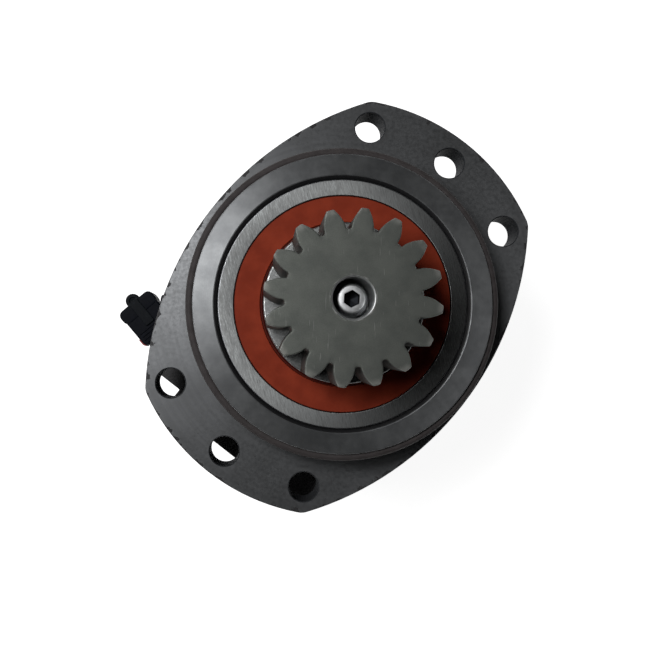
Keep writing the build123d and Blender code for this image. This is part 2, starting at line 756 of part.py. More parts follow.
def star_outline(samples=16):
    """The star: the rollers' path seen from the star, moved in by a roller's radius."""
    points = []
    for k in range(LOBES * samples):
        t = 2 * math.pi * k / (LOBES * samples)
        x = PIN_CIRCLE_R * math.cos(t) - STAR_OFFSET * math.cos(PINS * t)
        y = PIN_CIRCLE_R * math.sin(t) - STAR_OFFSET * math.sin(PINS * t)
        dx = -PIN_CIRCLE_R * math.sin(t) + PINS * STAR_OFFSET * math.sin(PINS * t)
        dy = PIN_CIRCLE_R * math.cos(t) - PINS * STAR_OFFSET * math.cos(PINS * t)
        inset = (PIN_R + STAR_CLEAR) / math.hypot(dx, dy)
        points.append((x - dy * inset, y + dx * inset))
    return make_face(Spline(*points, periodic=True))


def star_rotor():
    """The six-lobed rotor, standing off the axis at rest."""
    height = STATOR_T - 2 * END_CLEAR
    star = extrude(star_outline(), height) - socket()
    return Pos(STAR_OFFSET, 0, STATOR_Z + END_CLEAR) * star


def manifold_plate():
    """The plate that leads oil from the valve to the seven chambers."""
    windows = [rod(WINDOW_R, MANIFOLD_Z, STATOR_Z, *polar(WINDOW_CIRCLE_R, PIN_STEP * (k + 0.5)))
               for k in range(PINS)]
    return plate(MANIFOLD_Z, STATOR_Z, LINK_HOLE_R) - windows - section_groove(STATOR_Z)


def commutator_ring():
    """The ring round the valve disc, with slots to the windows and to the passages."""
    def slot(outer, z0):
        length = outer - VALVE_BORE_R + SLOT_OVERLAP
        return Pos(VALVE_BORE_R - SLOT_OVERLAP, 0, z0) * Box(length, SLOT_W, SLOT_DEPTH,
                                                  align=(Align.MIN, Align.CENTER, Align.MIN))

    front = around(slot(WINDOW_CIRCLE_R + WINDOW_R, MANIFOLD_Z - SLOT_DEPTH), PINS, PIN_STEP / 2)
    rear = [Rot(0, 0, turn) * slot(PASSAGE_CIRCLE_R, VALVE_Z) for turn in PASSAGE_TURNS]
    return plate(VALVE_Z, MANIFOLD_Z, VALVE_BORE_R) - front - rear - section_groove(MANIFOLD_Z)


def valve_seal_ring():
    """The seal ring and its groove in the valve disc's rear face."""
    outer = COMMUTATOR_R - VALVE_SEAL_EDGE
    return ring(outer, outer - VALVE_SEAL_W, 0, VALVE_SEAL_T)


def commutator():
    """The valve disc, which the link's plain end carries round in a small circle."""
    height = VALVE_T - 2 * END_CLEAR
    disc = ring(COMMUTATOR_R, LINK_CORE_R + SOCKET_CLEAR, 0, height) - valve_seal_ring()
    return Pos(VALVE_OFFSET, 0, VALVE_Z + END_CLEAR) * disc


def commutator_seal():
    """The seal ring in the valve disc's rear face."""
    return Pos(VALVE_OFFSET, 0, VALVE_Z + END_CLEAR) * valve_seal_ring()


def crown(reach):
    """One crowned end of the link, about Z = 0."""
    edge = math.sqrt(LINK_CORE_R**2 - reach**2)
    arc = ThreePointArc((edge, -reach), (LINK_CORE_R, 0), (edge, reach))
    sides = Polyline((edge, reach), (0, reach), (0, -reach), (edge, -reach))
    return revolve(Plane.XZ * make_face([arc, sides]), Axis.Z)


def link_teeth():
    """The round teeth of one of the link's driving ends, about Z = 0."""
    tooth = chamfer(Cylinder(LINK_TOOTH_R, LINK_TOOTH_L).edges(), LINK_TOOTH_EDGE)
    return around(Pos(LINK_TOOTH_CIRCLE_R, 0, 0) * tooth, LINK_TEETH)


def drive_link():
    """The tilted link: two toothed crowns and a plain one on one shank."""
    tilt = math.atan(LINK_SLOPE)
    last = crown(LINK_LAST_END)
    driving = crown(LINK_END) + link_teeth()
    ends = ((LINK_FRONT_Z, driving), (STAR_MID_Z, driving), (VALVE_MID_Z, last))
    solid = rod(LINK_SHANK_R, (VALVE_MID_Z - LINK_FRONT_Z) / math.cos(tilt), 0)
    for z, end in ends:
        solid += Pos(0, 0, (z - LINK_FRONT_Z) / math.cos(tilt)) * end
    return Pos(0, 0, LINK_FRONT_Z) * Rot(0, math.degrees(tilt), 0) * solid


def end_cover():
    """The rear cover, on which the motor can stand."""
    sinks = [rod(COVER_SINK_R, COVER_Z, COVER_Z + COVER_SINK, *place) for place in cover_places()]
    holes = [rod(COVER_HOLE_R, COVER_Z, VALVE_Z, *place) for place in cover_places()]
    cover = rod(STACK_R, COVER_Z, VALVE_Z)
    cover = chamfer(cover.edges().group_by(Axis.Z)[0], COVER_EDGE)
    cover = chamfer(cover.edges().group_by(Axis.Z)[-1], PLATE_EDGE)
    return cover - sinks - holes - rod(LINK_HOLE_R, VALVE_Z - COVER_RECESS, VALVE_Z) - section_groove(VALVE_Z)


def cover_bolts():
    """The seven screws that hold the rear stack to the housing."""
    seat = COVER_Z + COVER_SINK
    one = screw(COVER_SCREW_R, COVER_GRIP_Z - seat, COVER_HEAD_R, COVER_HEAD_H, COVER_SOCKET)
    return Compound(children=[Pos(x, y, seat) * Rot(180, 0, 0) * one for x, y in cover_places()])


def section_orings():
    """The O-rings between the sections of the stack."""
    seats = (REAR_Z, WEAR_Z, STATOR_Z, MANIFOLD_Z, VALVE_Z)
    rings = [Pos(0, 0, z - SECTION_ORING_R) * Torus(SECTION_GROOVE_R, SECTION_ORING_R) for z in seats]
    return Compound(children=rings)


def speed_sensor():
    """The sensor's barrel, its fixing ear and the neck of its plug."""
    tip = TONE_R + SENSOR_GAP
    barrel = side_rod(SENSOR_R, tip, BOSS_FACE - tip, SENSOR_Z)
    ear = make_hull((Circle(BOSS_R - EAR_MARGIN) + Pos(-EAR_REACH, 0) * Circle(EAR_R)).edges())
    ear = Pos(-BOSS_FACE, 0, SENSOR_Z) * Rot(0, -90, 0) * extrude(ear, EAR_T)
    neck = side_rod(NECK_R, BOSS_FACE, NECK_END - BOSS_FACE, SENSOR_Z)
    hole = side_rod(EAR_SCREW_R + EAR_SCREW_CLEAR, BOSS_FACE, EAR_T, SENSOR_Z - EAR_REACH)
    return barrel + ear + neck - hole - plug_block()


def sensor_screw():
    """The screw through the sensor's ear."""
    one = screw(EAR_SCREW_R, EAR_SCREW_L + EAR_T, EAR_HEAD_R, EAR_HEAD_H, EAR_SOCKET)
    return Pos(-BOSS_FACE - EAR_T, 0, SENSOR_Z - EAR_REACH) * Rot(0, -90, 0) * one


def plug_place():
    """The plug's centre, turned to its slant."""
    return Pos(*PLUG_CENTRE, SENSOR_Z) * Rot(0, 0, PLUG_TURN)


def plug_block():
    """The plug's plain block."""
    block = fillet(Box(PLUG_L, PLUG_W, PLUG_H).edges().filter_by(Axis.Z), PLUG_CORNER_R)
    return plug_place() * fillet(block.edges().group_by(Axis.Z)[0] + block.edges().group_by(Axis.Z)[-1],
                                 PLUG_ROUND)


def sensor_lock():
    """The plug's red lock, flush in its outer side."""
    x = PLUG_L / 2 - LOCK_L / 2 - LOCK_IN
    z = PLUG_H / 2 - LOCK_H / 2 - LOCK_DOWN
    lock = Pos(x, LOCK_T / 2 - PLUG_W / 2, z) * Box(LOCK_L, LOCK_T, LOCK_H)
    return plug_place() * lock & plug_block()


def sensor_connector():
    """The black plug with its locking nub."""
    nub = plug_place() * rod(NUB_R, -NUB_H / 2, NUB_H / 2, -PLUG_L / 2 - NUB_REACH)
    return plug_block() + nub - sensor_lock()


def drain_plug():
    """The case drain's plug."""
    plug = side_rod(DRAIN_R, DRAIN_FACE - DRAIN_L, DRAIN_L, DRAIN_Z)
    head = Pos(-DRAIN_FACE, 0, DRAIN_Z) * Rot(0, -90, 0) * hexagon(DRAIN_HEX, DRAIN_HEAD_H)
    return Rot(0, 0, DRAIN_TURN - 180) * (plug + head)


def relief_valve(side):
    """A relief cartridge screwed into the block's side."""
    body = rod(RELIEF_R, RELIEF_SPARE - RELIEF_DEPTH, 0) + hexagon(RELIEF_HEX, RELIEF_HEX_H)
    body += rod(RELIEF_CAP_R, RELIEF_HEX_H, RELIEF_HEX_H + RELIEF_CAP_H)
    return Rot(0, 0, LOBE_AXIS) * relief_place(side) * body


PIECES = {
    "housing": housing(),
    "pilot_oring": pilot_oring(),
    "shaft_seal": shaft_seal(),
    "front_bearing_outer": front_bearing_outer(),
    "front_bearing_inner": front_bearing_inner(),
    "front_bearing_rollers": front_bearing_rollers(),
    "front_bearing_cage": front_bearing_cage(),
    "rear_bearing_outer": rear_bearing_outer(),
    "rear_bearing_inner": rear_bearing_inner(),
    "rear_bearing_balls": rear_bearing_balls(),
    "rear_bearing_cage": rear_bearing_cage(),
    "bearing_spacer": bearing_spacer(),
    "bearing_locknut": bearing_locknut(),
    "output_shaft": output_shaft(),
    "tone_ring": tone_ring(),
    "pinion": pinion(),
    "pinion_washer": pinion_washer(),
    "pinion_screw": pinion_screw(),
    "wear_plate": wear_plate(),
    "stator_ring": stator_ring(),
    "stator_rollers": stator_rollers(),
    "star_rotor": star_rotor(),
    "manifold_plate": manifold_plate(),
    "commutator_ring": commutator_ring(),
    "commutator": commutator(),
    "commutator_seal": commutator_seal(),
    "drive_link": drive_link(),
    "end_cover": end_cover(),
    "cover_bolts": cover_bolts(),
    "section_orings": section_orings(),
    "speed_sensor": speed_sensor(),
    "sensor_screw": sensor_screw(),
    "sensor_connector": sensor_connector(),
    "sensor_lock": sensor_lock(),
    "drain_plug": drain_plug(),
    "relief_valve_a": relief_valve(1),
    "relief_valve_b": relief_valve(-1),
}

os.makedirs("parts", exist_ok=True)
for name, piece in PIECES.items():
    export_step(piece, f"parts/{name}.step")
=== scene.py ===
import math

import bmesh
import bpy
from mathutils import Matrix, Vector


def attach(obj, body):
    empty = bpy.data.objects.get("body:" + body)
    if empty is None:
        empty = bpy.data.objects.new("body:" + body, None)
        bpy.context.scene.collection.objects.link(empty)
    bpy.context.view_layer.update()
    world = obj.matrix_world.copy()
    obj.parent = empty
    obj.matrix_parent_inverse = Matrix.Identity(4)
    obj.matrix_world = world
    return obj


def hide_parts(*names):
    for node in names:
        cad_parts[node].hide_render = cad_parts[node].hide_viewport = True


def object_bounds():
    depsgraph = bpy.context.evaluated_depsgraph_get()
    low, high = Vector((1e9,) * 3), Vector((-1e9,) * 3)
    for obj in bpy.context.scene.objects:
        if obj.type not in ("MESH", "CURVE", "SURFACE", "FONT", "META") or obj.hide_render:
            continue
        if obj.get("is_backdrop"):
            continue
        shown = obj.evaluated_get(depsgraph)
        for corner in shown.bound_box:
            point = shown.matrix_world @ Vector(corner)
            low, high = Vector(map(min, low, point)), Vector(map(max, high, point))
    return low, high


# Looks of a hydraulic drive motor. Sizes are in millimetres and turn into metres when a mesh is made.
# Z runs along the shaft towards the pinion, and X and Y are right and up in the photograph.

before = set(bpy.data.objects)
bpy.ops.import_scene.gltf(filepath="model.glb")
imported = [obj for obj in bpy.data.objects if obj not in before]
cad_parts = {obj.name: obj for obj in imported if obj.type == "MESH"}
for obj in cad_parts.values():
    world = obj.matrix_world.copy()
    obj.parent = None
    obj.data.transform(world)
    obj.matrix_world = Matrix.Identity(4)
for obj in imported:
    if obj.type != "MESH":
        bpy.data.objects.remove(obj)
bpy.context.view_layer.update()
MM = 0.001

# Camera: its place, its focal length for a sensor 36 wide, and how far the picture is shifted
EYE = (-47.6, -26.7, 455.9)
LENS = 39.27
SHIFT = (0.0957, 0.0365)
# Lamps: angle round Z, angle off Z, distance, size, power, shares of diffuse and mirrored light
LAMPS = {
    "key": (144.0, 29.0, 1100.0, 340.0, 4.5, 1.0, 0.5),
    "side": (171.0, 32.0, 1100.0, 400.0, 3.0, 0.2, 1.0),
}
FLOOR_R = 9000.0
FLOOR_SIDES = 96
# How white the floor and the horizon look, and where the horizon's paleness starts and stops fading
PALE = 0.93
HORIZON = (0.16, 0.32)
# The sky's least and greatest strength, and the direction in which it is brightest
SKY_STRENGTH = (0.001, 0.025)
SKY_TURN = 175.0
SKY_TILT = 50.0

# Sizes that the model's source also holds, some with a small clearance
LOBE_AXIS = 52.0
LOBE_R = 134.5
SIDE_R = 201.0
SIDE_SHIFT = 98.3
FLANGE_T = 20.0
BOLT_CIRCLE_R = 117.5
BOLT_HOLE_R = 9.5
BOLT_SPREAD = 27.5
PILOT_R = 94.0
MOUTH_R = 77.0
RING_OUTER_R = 75.0
RING_TOP = 31.5
RING_STEP = 20.0
RING_BOTTOM = -10.0
RIB_R = 66.0
RACE_R = 69.5
RACE_TOP = 16.1
RACE_BOTTOM = -4.1
SEAL_OUTER_R = 65.0
SEAL_TOP = 31.0
SEAL_BOTTOM = 20.2
ORING_INNER_R = 89.3
ORING_CORD_R = 2.65
ORING_Z = 26.75
HUB_R = 47.5
HUB_INNER_R = 27.6
HUB_FOOT_R = 55.0
HUB_FOOT_TOP = 19.0
HUB_BOTTOM = 17.0
MODULE = 5.0
TEETH = 16
TOOTH_SHIFT = 0.9
TIP_R = 47.5
ROOT_R = 36.25
FIRST_TOOTH = 15.0
GEAR_TOP = 84.5
GEAR_BACK = 40.0
GEAR_INNER_R = 28.0
GEAR_INNER_TOP = 56.0
COUNTERBORE_R = 10.75
COUNTERBORE_FLOOR = 64.0
WASHER_R = 10.2
WASHER_TOP = 67.0
SCREW_R = 5.0
SCREW_HOLE_R = 5.5
SCREW_BOTTOM = 42.0
HEAD_R = 8.0
HEAD_TOP = 77.0
SOCKET_FLATS = 8.0
SOCKET_TURN = 25.0
PLUG_PLACE = (-127.0, -6.0, -40.0)
PLUG_TURN = -50.0
PLUG_SIZE = (30.0, 28.0, 20.0)
PLUG_CORNER_R = 4.0
NUB_X = -16.1
NUB_R = 5.0
NUB_H = 14.0
PORT_FACE_U = -124.0
PORT_V = 31.0
PORT_Z = -74.0
PORT_R = 13.2

# Details that only this script has
THREAD_DEPTH = 17.0
THREAD_PITCH = 2.3
THREAD_RISE = 1.1
PLUG_RIB_STEP = 2.4
PLUG_RIB_W = 1.1
GEAR_EDGE = 0.75
ROUND_STEPS = 3
FLANK_POINTS = 8
# Direction of the brush strokes on the bearing ring
BRUSH_TURN = 103.0


# Meshes

def add_mesh(name, points, faces, smooth=35.0):
    """A mesh piece from points in millimetres, sharp where its faces meet at more than an angle."""
    mesh = bpy.data.meshes.new(name)
    mesh.from_pydata([Vector(p) * MM for p in points], [], faces)
    piece = bpy.data.objects.new(name, mesh)
    bpy.context.scene.collection.objects.link(piece)
    finish_mesh(mesh, smooth)
    return weigh(piece)


def finish_mesh(mesh, smooth):
    """Outward normals, and smooth shading but for sharp edges."""
    work = bmesh.new()
    work.from_mesh(mesh)
    bmesh.ops.remove_doubles(work, verts=work.verts, dist=1e-6)
    bmesh.ops.recalc_face_normals(work, faces=work.faces)
    work.to_mesh(mesh)
    work.free()
    mesh.shade_smooth()
    mesh.set_sharp_from_angle(angle=math.radians(smooth))


def weigh(piece):
    """Keeps large flat faces flat beside their rounded edges."""
    modifier = piece.modifiers.new("weigh", "WEIGHTED_NORMAL")
    modifier.weight = 90
    modifier.keep_sharp = True
    return piece


def polar(radius, angle):
    """X and Y of a point given by its radius and angle in degrees."""
    turn = math.radians(angle)
    return radius * math.cos(turn), radius * math.sin(turn)


def soften(outline, radius):
    """A closed outline with its corners rounded. A third number at a point is that corner's own radius."""
    rounded = []
    count = len(outline)
    for k, point in enumerate(outline):
        here = Vector(point[:2])
        before = Vector(outline[k - 1][:2]) - here
        after = Vector(outline[(k + 1) % count][:2]) - here
        reach = min(point[2] if len(point) > 2 else radius, before.length * 0.45, after.length * 0.45)
        if reach < 1e-4:
            rounded.append(tuple(here))
            continue
        start = here + before.normalized() * reach
        end = here + after.normalized() * reach
        for step in range(ROUND_STEPS + 1):
            t = step / ROUND_STEPS
            rounded.append(tuple(start * (1 - t) ** 2 + here * 2 * t * (1 - t) + end * t ** 2))
    return rounded


def lathe(name, outline, count=240, smooth=35.0):
    """A turned piece from its closed half outline of (radius, height) points."""
    points = []
    for k in range(count):
        angle = 360 / count * k
        points += [(*polar(r, angle), z) for r, z in outline]
    size = len(outline)
    faces = []
    for k in range(count):
        here, there = k * size, (k + 1) % count * size
        for j in range(size):
            n = (j + 1) % size
            faces.append((here + j, there + j, there + n, here + n))
    return add_mesh(name, points, faces, smooth)


def bridge(rings):
    """Faces between rings, which are lists of point numbers of equal length."""
    faces = []
    for low, high in zip(rings, rings[1:]):
        size = len(low)
        for k in range(size):
            n = (k + 1) % size
            faces.append((low[k], low[n], high[n], high[k]))
    return faces


def stack(name, sections, smooth, close=False):
    """A piece lofted through outlines of (x, y, z) points, all with the same number of points."""
    points = [p for section in sections for p in section]
    size = len(sections[0])
    rings = [list(range(k * size, (k + 1) * size)) for k in range(len(sections))]
    if close:
        rings.append(rings[0])
    return add_mesh(name, points, bridge(rings), smooth)


def cad_copy(name, node, width):
    """A copy of a CAD node with its sharp edges rounded, in that node's place."""
    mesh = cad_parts[node].data.copy()
    mesh.name = name
    piece = bpy.data.objects.new(name, mesh)
    bpy.context.scene.collection.objects.link(piece)
    work = bmesh.new()
    work.from_mesh(mesh)
    bmesh.ops.remove_doubles(work, verts=work.verts, dist=2e-6)
    bmesh.ops.dissolve_limit(work, angle_limit=math.radians(0.6), verts=work.verts, edges=work.edges)
    corner = math.radians(35)
    sharp = [e for e in work.edges if len(e.link_faces) == 2 and e.calc_face_angle(0) > corner]
    bmesh.ops.bevel(work, geom=sharp, offset=width * MM, offset_type="OFFSET", segments=2,
                    profile=0.5, affect="EDGES", clamp_overlap=False)
    work.to_mesh(mesh)
    work.free()
    finish_mesh(mesh, 30.0)
    # Level faces are shaded flat
    for face in mesh.polygons:
        face.use_smooth = abs(face.normal.z) < 0.9999
    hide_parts(node)
    return weigh(piece)


# Materials

class Surface:
    """A procedural material on one shader. Lengths in its textures are millimetres on the piece."""

    def __init__(self, name, colour, roughness, metallic=0.0, **sockets):
        self.material = bpy.data.materials.new(name)
        self.material.use_nodes = True
        self.tree = self.material.node_tree
        self.shader = self.tree.nodes["Principled BSDF"]
        self.shader.inputs["Base Color"].default_value = (*colour, 1)
        self.shader.inputs["Roughness"].default_value = roughness
        self.shader.inputs["Metallic"].default_value = metallic
        for socket, value in sockets.items():
            self.shader.inputs[socket.replace("_", " ")].default_value = value
        where = self.tree.nodes.new("ShaderNodeTexCoord")
        scale = self.tree.nodes.new("ShaderNodeVectorMath")
        scale.operation = "SCALE"
        scale.inputs["Scale"].default_value = 1 / MM
        self.tree.links.new(where.outputs["Object"], scale.inputs[0])
        self.point = scale.outputs["Vector"]
        self.parts = {}
        self.last_bump = None

    def put(self, value, socket):
        """Links an output, or sets a number or colour."""
        if isinstance(value, bpy.types.NodeSocket):
            self.tree.links.new(value, socket)
        elif isinstance(value, tuple) and len(value) == 3 and len(socket.default_value) == 4:
            socket.default_value = (*value, 1)
        else:
            socket.default_value = value

    def math(self, kind, a, b=0.0, c=0.0):
        """The result of a sum, product or other operation."""
        node = self.tree.nodes.new("ShaderNodeMath")
        node.operation = kind
        for value, socket in zip((a, b, c), node.inputs):
            self.put(value, socket)
        return node.outputs["Value"]

    def part(self, axis):
        """One coordinate of the point."""
        if not self.parts:
            node = self.tree.nodes.new("ShaderNodeSeparateXYZ")
            self.put(self.point, node.inputs[0])
            self.parts = {a: node.outputs[a] for a in "XYZ"}
        return self.parts[axis]

    def radius(self):
        """The distance from the shaft's axis."""
        if "R" not in self.parts:
            x, y = self.part("X"), self.part("Y")
            square = self.math("ADD", self.math("MULTIPLY", x, x), self.math("MULTIPLY", y, y))
            self.parts["R"] = self.math("SQRT", square)
        return self.parts["R"]

    def angle(self):
        """The angle round the shaft's axis, in radians."""
        return self.math("ARCTAN2", self.part("Y"), self.part("X"))

    def vector(self, x, y, z):
        """A point from three values."""
        node = self.tree.nodes.new("ShaderNodeCombineXYZ")
        for value, socket in zip((x, y, z), node.inputs):
            self.put(value, socket)
        return node.outputs[0]

    def stretched(self, x, y, z):
        """The point with each axis scaled."""
        node = self.tree.nodes.new("ShaderNodeVectorMath")
        node.operation = "MULTIPLY"
        self.put(self.point, node.inputs[0])
        node.inputs[1].default_value = (x, y, z)
        return node.outputs["Vector"]

    def noise(self, size, detail=3.0, point=None, rough=0.55):
        """Noise with features of about a size in millimetres, from 0 to 1."""
        node = self.tree.nodes.new("ShaderNodeTexNoise")
        self.put(self.point if point is None else point, node.inputs["Vector"])
        node.inputs["Scale"].default_value = 1 / size
        node.inputs["Detail"].default_value = detail
        node.inputs["Roughness"].default_value = rough
        return node.outputs["Fac"]

    def line(self, value, size, detail=4.0, seed=0.0):
        """Noise along one value, such as the radius, for turning marks."""
        node = self.tree.nodes.new("ShaderNodeTexNoise")
        node.noise_dimensions = "1D"
        self.put(self.math("ADD", value, seed), node.inputs["W"])
        node.inputs["Scale"].default_value = 1 / size
        node.inputs["Detail"].default_value = detail
        return node.outputs["Fac"]

    def ramp(self, value, low, high, start=0.0, end=1.0):
        """A smooth step from start to end as the value goes from low to high."""
        node = self.tree.nodes.new("ShaderNodeMapRange")
        node.interpolation_type = "SMOOTHSTEP"
        for number, socket in zip((value, low, high, start, end), node.inputs):
            self.put(number, socket)
        return node.outputs["Result"]

    def mix(self, share, a, b):
        """A colour between a and b."""
        node = self.tree.nodes.new("ShaderNodeMix")
        node.data_type = "RGBA"
        self.put(share, node.inputs[0])
        self.put(a, node.inputs[6])
        self.put(b, node.inputs[7])
        return node.outputs[2]

    def number(self, share, a, b):
        """A number between a and b."""
        node = self.tree.nodes.new("ShaderNodeMix")
        self.put(share, node.inputs[0])
        self.put(a, node.inputs[2])
        self.put(b, node.inputs[3])
        return node.outputs[0]

    def bump(self, height, depth):
        """Adds relief of a depth in millimetres."""
        node = self.tree.nodes.new("ShaderNodeBump")
        node.inputs["Distance"].default_value = depth * MM
        self.put(height, node.inputs["Height"])
        if self.last_bump is not None:
            self.put(self.last_bump, node.inputs["Normal"])
        self.last_bump = node.outputs["Normal"]
        self.put(self.last_bump, self.shader.inputs["Normal"])

    def set(self, socket, value):
        """Links or sets one of the shader's sockets."""
        self.put(value, self.shader.inputs[socket])

    def grooves(self, anisotropy, radial=False):
        """Stretches highlights across fine marks that run round the shaft's axis, or out from it."""
        where = self.tree.nodes.new("ShaderNodeNewGeometry")
        cross = self.tree.nodes.new("ShaderNodeVectorMath")
        cross.operation = "CROSS_PRODUCT"
        cross.inputs[0].default_value = (0, 0, 1)
        self.put(where.outputs["Position"], cross.inputs[1])
        tangent = cross.outputs["Vector"]
        if not radial:
            out = self.tree.nodes.new("ShaderNodeVectorMath")
            out.operation = "CROSS_PRODUCT"
            self.put(tangent, out.inputs[0])
            out.inputs[1].default_value = (0, 0, 1)
            tangent = out.outputs["Vector"]
        self.put(tangent, self.shader.inputs["Tangent"])
        self.shader.inputs["Anisotropic"].default_value = anisotropy


def rim_distance(s):
    """How far a point of the flange is inside its outline."""
    centre = Vector((-math.sin(math.radians(LOBE_AXIS)), math.cos(math.radians(LOBE_AXIS)))) * SIDE_SHIFT
    gap = s.math("SUBTRACT", LOBE_R, s.radius())
    for sign in (1, -1):
        dx = s.math("SUBTRACT", s.part("X"), sign * centre.x)
        dy = s.math("SUBTRACT", s.part("Y"), sign * centre.y)
        square = s.math("ADD", s.math("MULTIPLY", dx, dx), s.math("MULTIPLY", dy, dy))
        gap = s.math("MINIMUM", gap, s.math("SUBTRACT", SIDE_R, s.math("SQRT", square)))
    return gap


def cast_parts(s):
    """Colour, roughness and height of the dark cast skin."""
    cloud = s.noise(26.0, 3.0)
    grain = s.noise(1.3, 4.0, rough=0.65)
    colour = s.mix(s.ramp(cloud, 0.35, 0.7), (0.030, 0.029, 0.031), (0.052, 0.051, 0.053))
    colour = s.mix(s.ramp(grain, 0.62, 0.74), colour, (0.085, 0.082, 0.08))
    rough = s.number(cloud, 0.52, 0.72)
    height = s.math("ADD", s.math("MULTIPLY", s.noise(6.0, 2.0), 0.7), s.math("MULTIPLY", grain, 0.5))
    return colour, rough, height


def machined_iron():
    """The turned flange face, with a ragged cast border."""
    s = Surface("machined_iron", (0.17, 0.175, 0.18), 0.55, 1.0)
    s.grooves(0.45)
    marks = s.line(s.radius(), 0.5, 5.0)
    wide = s.line(s.radius(), 4.0, 3.0, 40.0)
    cloud = s.noise(30.0, 4.0)
    fine = s.noise(2.2, 4.0)
    colour = s.mix(s.ramp(cloud, 0.3, 0.72), (0.165, 0.169, 0.174), (0.203, 0.208, 0.215))
    colour = s.mix(s.math("MULTIPLY", s.ramp(wide, 0.35, 0.65), 0.22), colour, (0.125, 0.128, 0.132))
    pits = s.ramp(s.noise(1.3, 2.0), 0.72, 0.78)
    colour = s.mix(pits, colour, (0.03, 0.03, 0.03))
    rough = s.number(s.ramp(fine, 0.3, 0.7), 0.46, 0.56)
    ragged = s.math("MULTIPLY", s.math("SUBTRACT", s.noise(7.0, 4.0), 0.5), 15.0)
    rim = s.math("ADD", rim_distance(s), ragged)
    skin = s.ramp(rim, 0.2, 0.7, 1.0, 0.0)
    cast_colour, cast_rough, cast_height = cast_parts(s)
    s.set("Base Color", s.mix(skin, colour, cast_colour))
    s.set("Roughness", s.number(skin, rough, cast_rough))
    s.set("Metallic", s.ramp(skin, 0.0, 1.0, 1.0, 0.35))
    s.bump(marks, 0.007)
    s.bump(s.math("MULTIPLY", skin, cast_height), 0.35)
    s.bump(skin, -0.25)
    return s.material


def pilot_iron():
    """The turned pilot and its nose, with painted shade in the gap round the bearing."""
    s = Surface("pilot_iron", (0.22, 0.225, 0.23), 0.45, 1.0)
    s.grooves(0.52)
    marks = s.line(s.math("ADD", s.radius(), s.part("Z")), 0.4, 5.0)
    cloud = s.noise(14.0, 4.0)
    colour = s.mix(s.ramp(cloud, 0.3, 0.7), (0.19, 0.196, 0.202), (0.25, 0.257, 0.263))
    # Painted shade: the pilot's edge at the mouth is painted near black and not metallic, for the shade in
    # the gap round the bearing
    gap = s.math("MULTIPLY", s.ramp(s.radius(), MOUTH_R + 0.3, MOUTH_R), s.ramp(s.part("Z"), 20.0, 21.0))
    s.set("Base Color", s.mix(gap, colour, (0.008, 0.008, 0.009)))
    s.set("Roughness", s.number(s.noise(3.0, 4.0), 0.38, 0.50))
    s.set("Metallic", s.ramp(gap, 0.0, 1.0, 1.0, 0.0))
    s.bump(marks, 0.01)
    return s.material


def cast_skin():
    """The dark skin of cast surfaces."""
    s = Surface("cast_skin", (0.04, 0.04, 0.04), 0.6, 0.0, Specular_IOR_Level=0.4)
    colour, rough, height = cast_parts(s)
    s.set("Base Color", colour)
    s.set("Roughness", rough)
    s.bump(height, 0.9)
    return s.material


def hole_iron():
    """Drilled and bored walls, painted near black as shade inside the holes."""
    s = Surface("hole_iron", (0.1, 0.1, 0.105), 0.6, 0.0, Specular_IOR_Level=0.04)
    marks = s.line(s.part("Z"), 0.5, 4.0)
    s.set("Base Color", s.mix(s.noise(8.0, 3.0), (0.024, 0.026, 0.029), (0.050, 0.052, 0.056)))
    s.set("Roughness", s.number(s.noise(2.0, 3.0), 0.5, 0.65))
    s.bump(marks, 0.03)
    return s.material


def ring_steel():
    """The ground ring, brushed across in one direction with short bright strokes."""
    s = Surface("ring_steel", (0.3, 0.305, 0.31), 0.4, 1.0)
    s.grooves(0.4, radial=True)
    lean = math.radians(BRUSH_TURN)
    along = s.math("ADD", s.math("MULTIPLY", s.part("X"), math.cos(lean)),
                   s.math("MULTIPLY", s.part("Y"), math.sin(lean)))
    across = s.math("SUBTRACT", s.math("MULTIPLY", s.part("X"), math.sin(lean)),
                    s.math("MULTIPLY", s.part("Y"), math.cos(lean)))
    stroke_point = s.vector(s.math("MULTIPLY", across, 1.9), s.math("MULTIPLY", along, 0.2),
                            s.math("MULTIPLY", s.part("Z"), 0.3))
    strokes = s.noise(1.0, 3.0, stroke_point, 0.7)
    bright = s.ramp(strokes, 0.50, 0.66)
    dark = s.ramp(strokes, 0.46, 0.34)
    base = s.mix(s.noise(16.0), (0.19, 0.195, 0.195), (0.25, 0.255, 0.255))
    base = s.mix(s.math("MULTIPLY", dark, 0.5), base, (0.10, 0.105, 0.105))
    # Painted shade: a darker band on the ring's rounded outer edge beside the gap
    chamfer_shade = s.ramp(s.radius(), RING_OUTER_R - 1.1, RING_OUTER_R - 0.7)
    s.set("Base Color", s.mix(chamfer_shade, s.mix(bright, base, (0.42, 0.44, 0.44)), (0.19, 0.194, 0.205)))
    s.set("Roughness", s.number(bright, 0.46, 0.34))
    s.bump(strokes, 0.02)
    return s.material


def seal_rubber():
    """Brick-coloured seal, with painted shade at its lip and at its outer edge."""
    s = Surface("seal_rubber", (0.33, 0.05, 0.022), 0.7, 0.0, Specular_IOR_Level=0.12)
    cloud = s.noise(11.0, 4.0)
    colour = s.mix(s.ramp(cloud, 0.3, 0.75), (0.23, 0.029, 0.0115), (0.30, 0.041, 0.0165))
    # Painted shade: near-black rings at the lip beside the collar and at the outer edge beside the bearing
    # ring
    lip_shade = s.ramp(s.radius(), HUB_R + 2.1, HUB_R + 1.5)
    edge = s.ramp(s.radius(), SEAL_OUTER_R - 0.7, SEAL_OUTER_R - 0.2)
    colour = s.mix(s.math("MULTIPLY", s.math("MAXIMUM", lip_shade, edge), 0.85), colour, (0.045, 0.006, 0.005))
    dust = s.ramp(s.noise(0.7, 3.0), 0.70, 0.80)
    s.set("Base Color", s.mix(s.math("MULTIPLY", dust, 0.4), colour, (0.30, 0.14, 0.10)))
    s.set("Roughness", s.number(s.noise(2.5, 3.0), 0.6, 0.8))
    s.bump(s.line(s.radius(), 0.6, 4.0), 0.01)
    s.bump(s.noise(0.5, 2.0), 0.015)
    return s.material


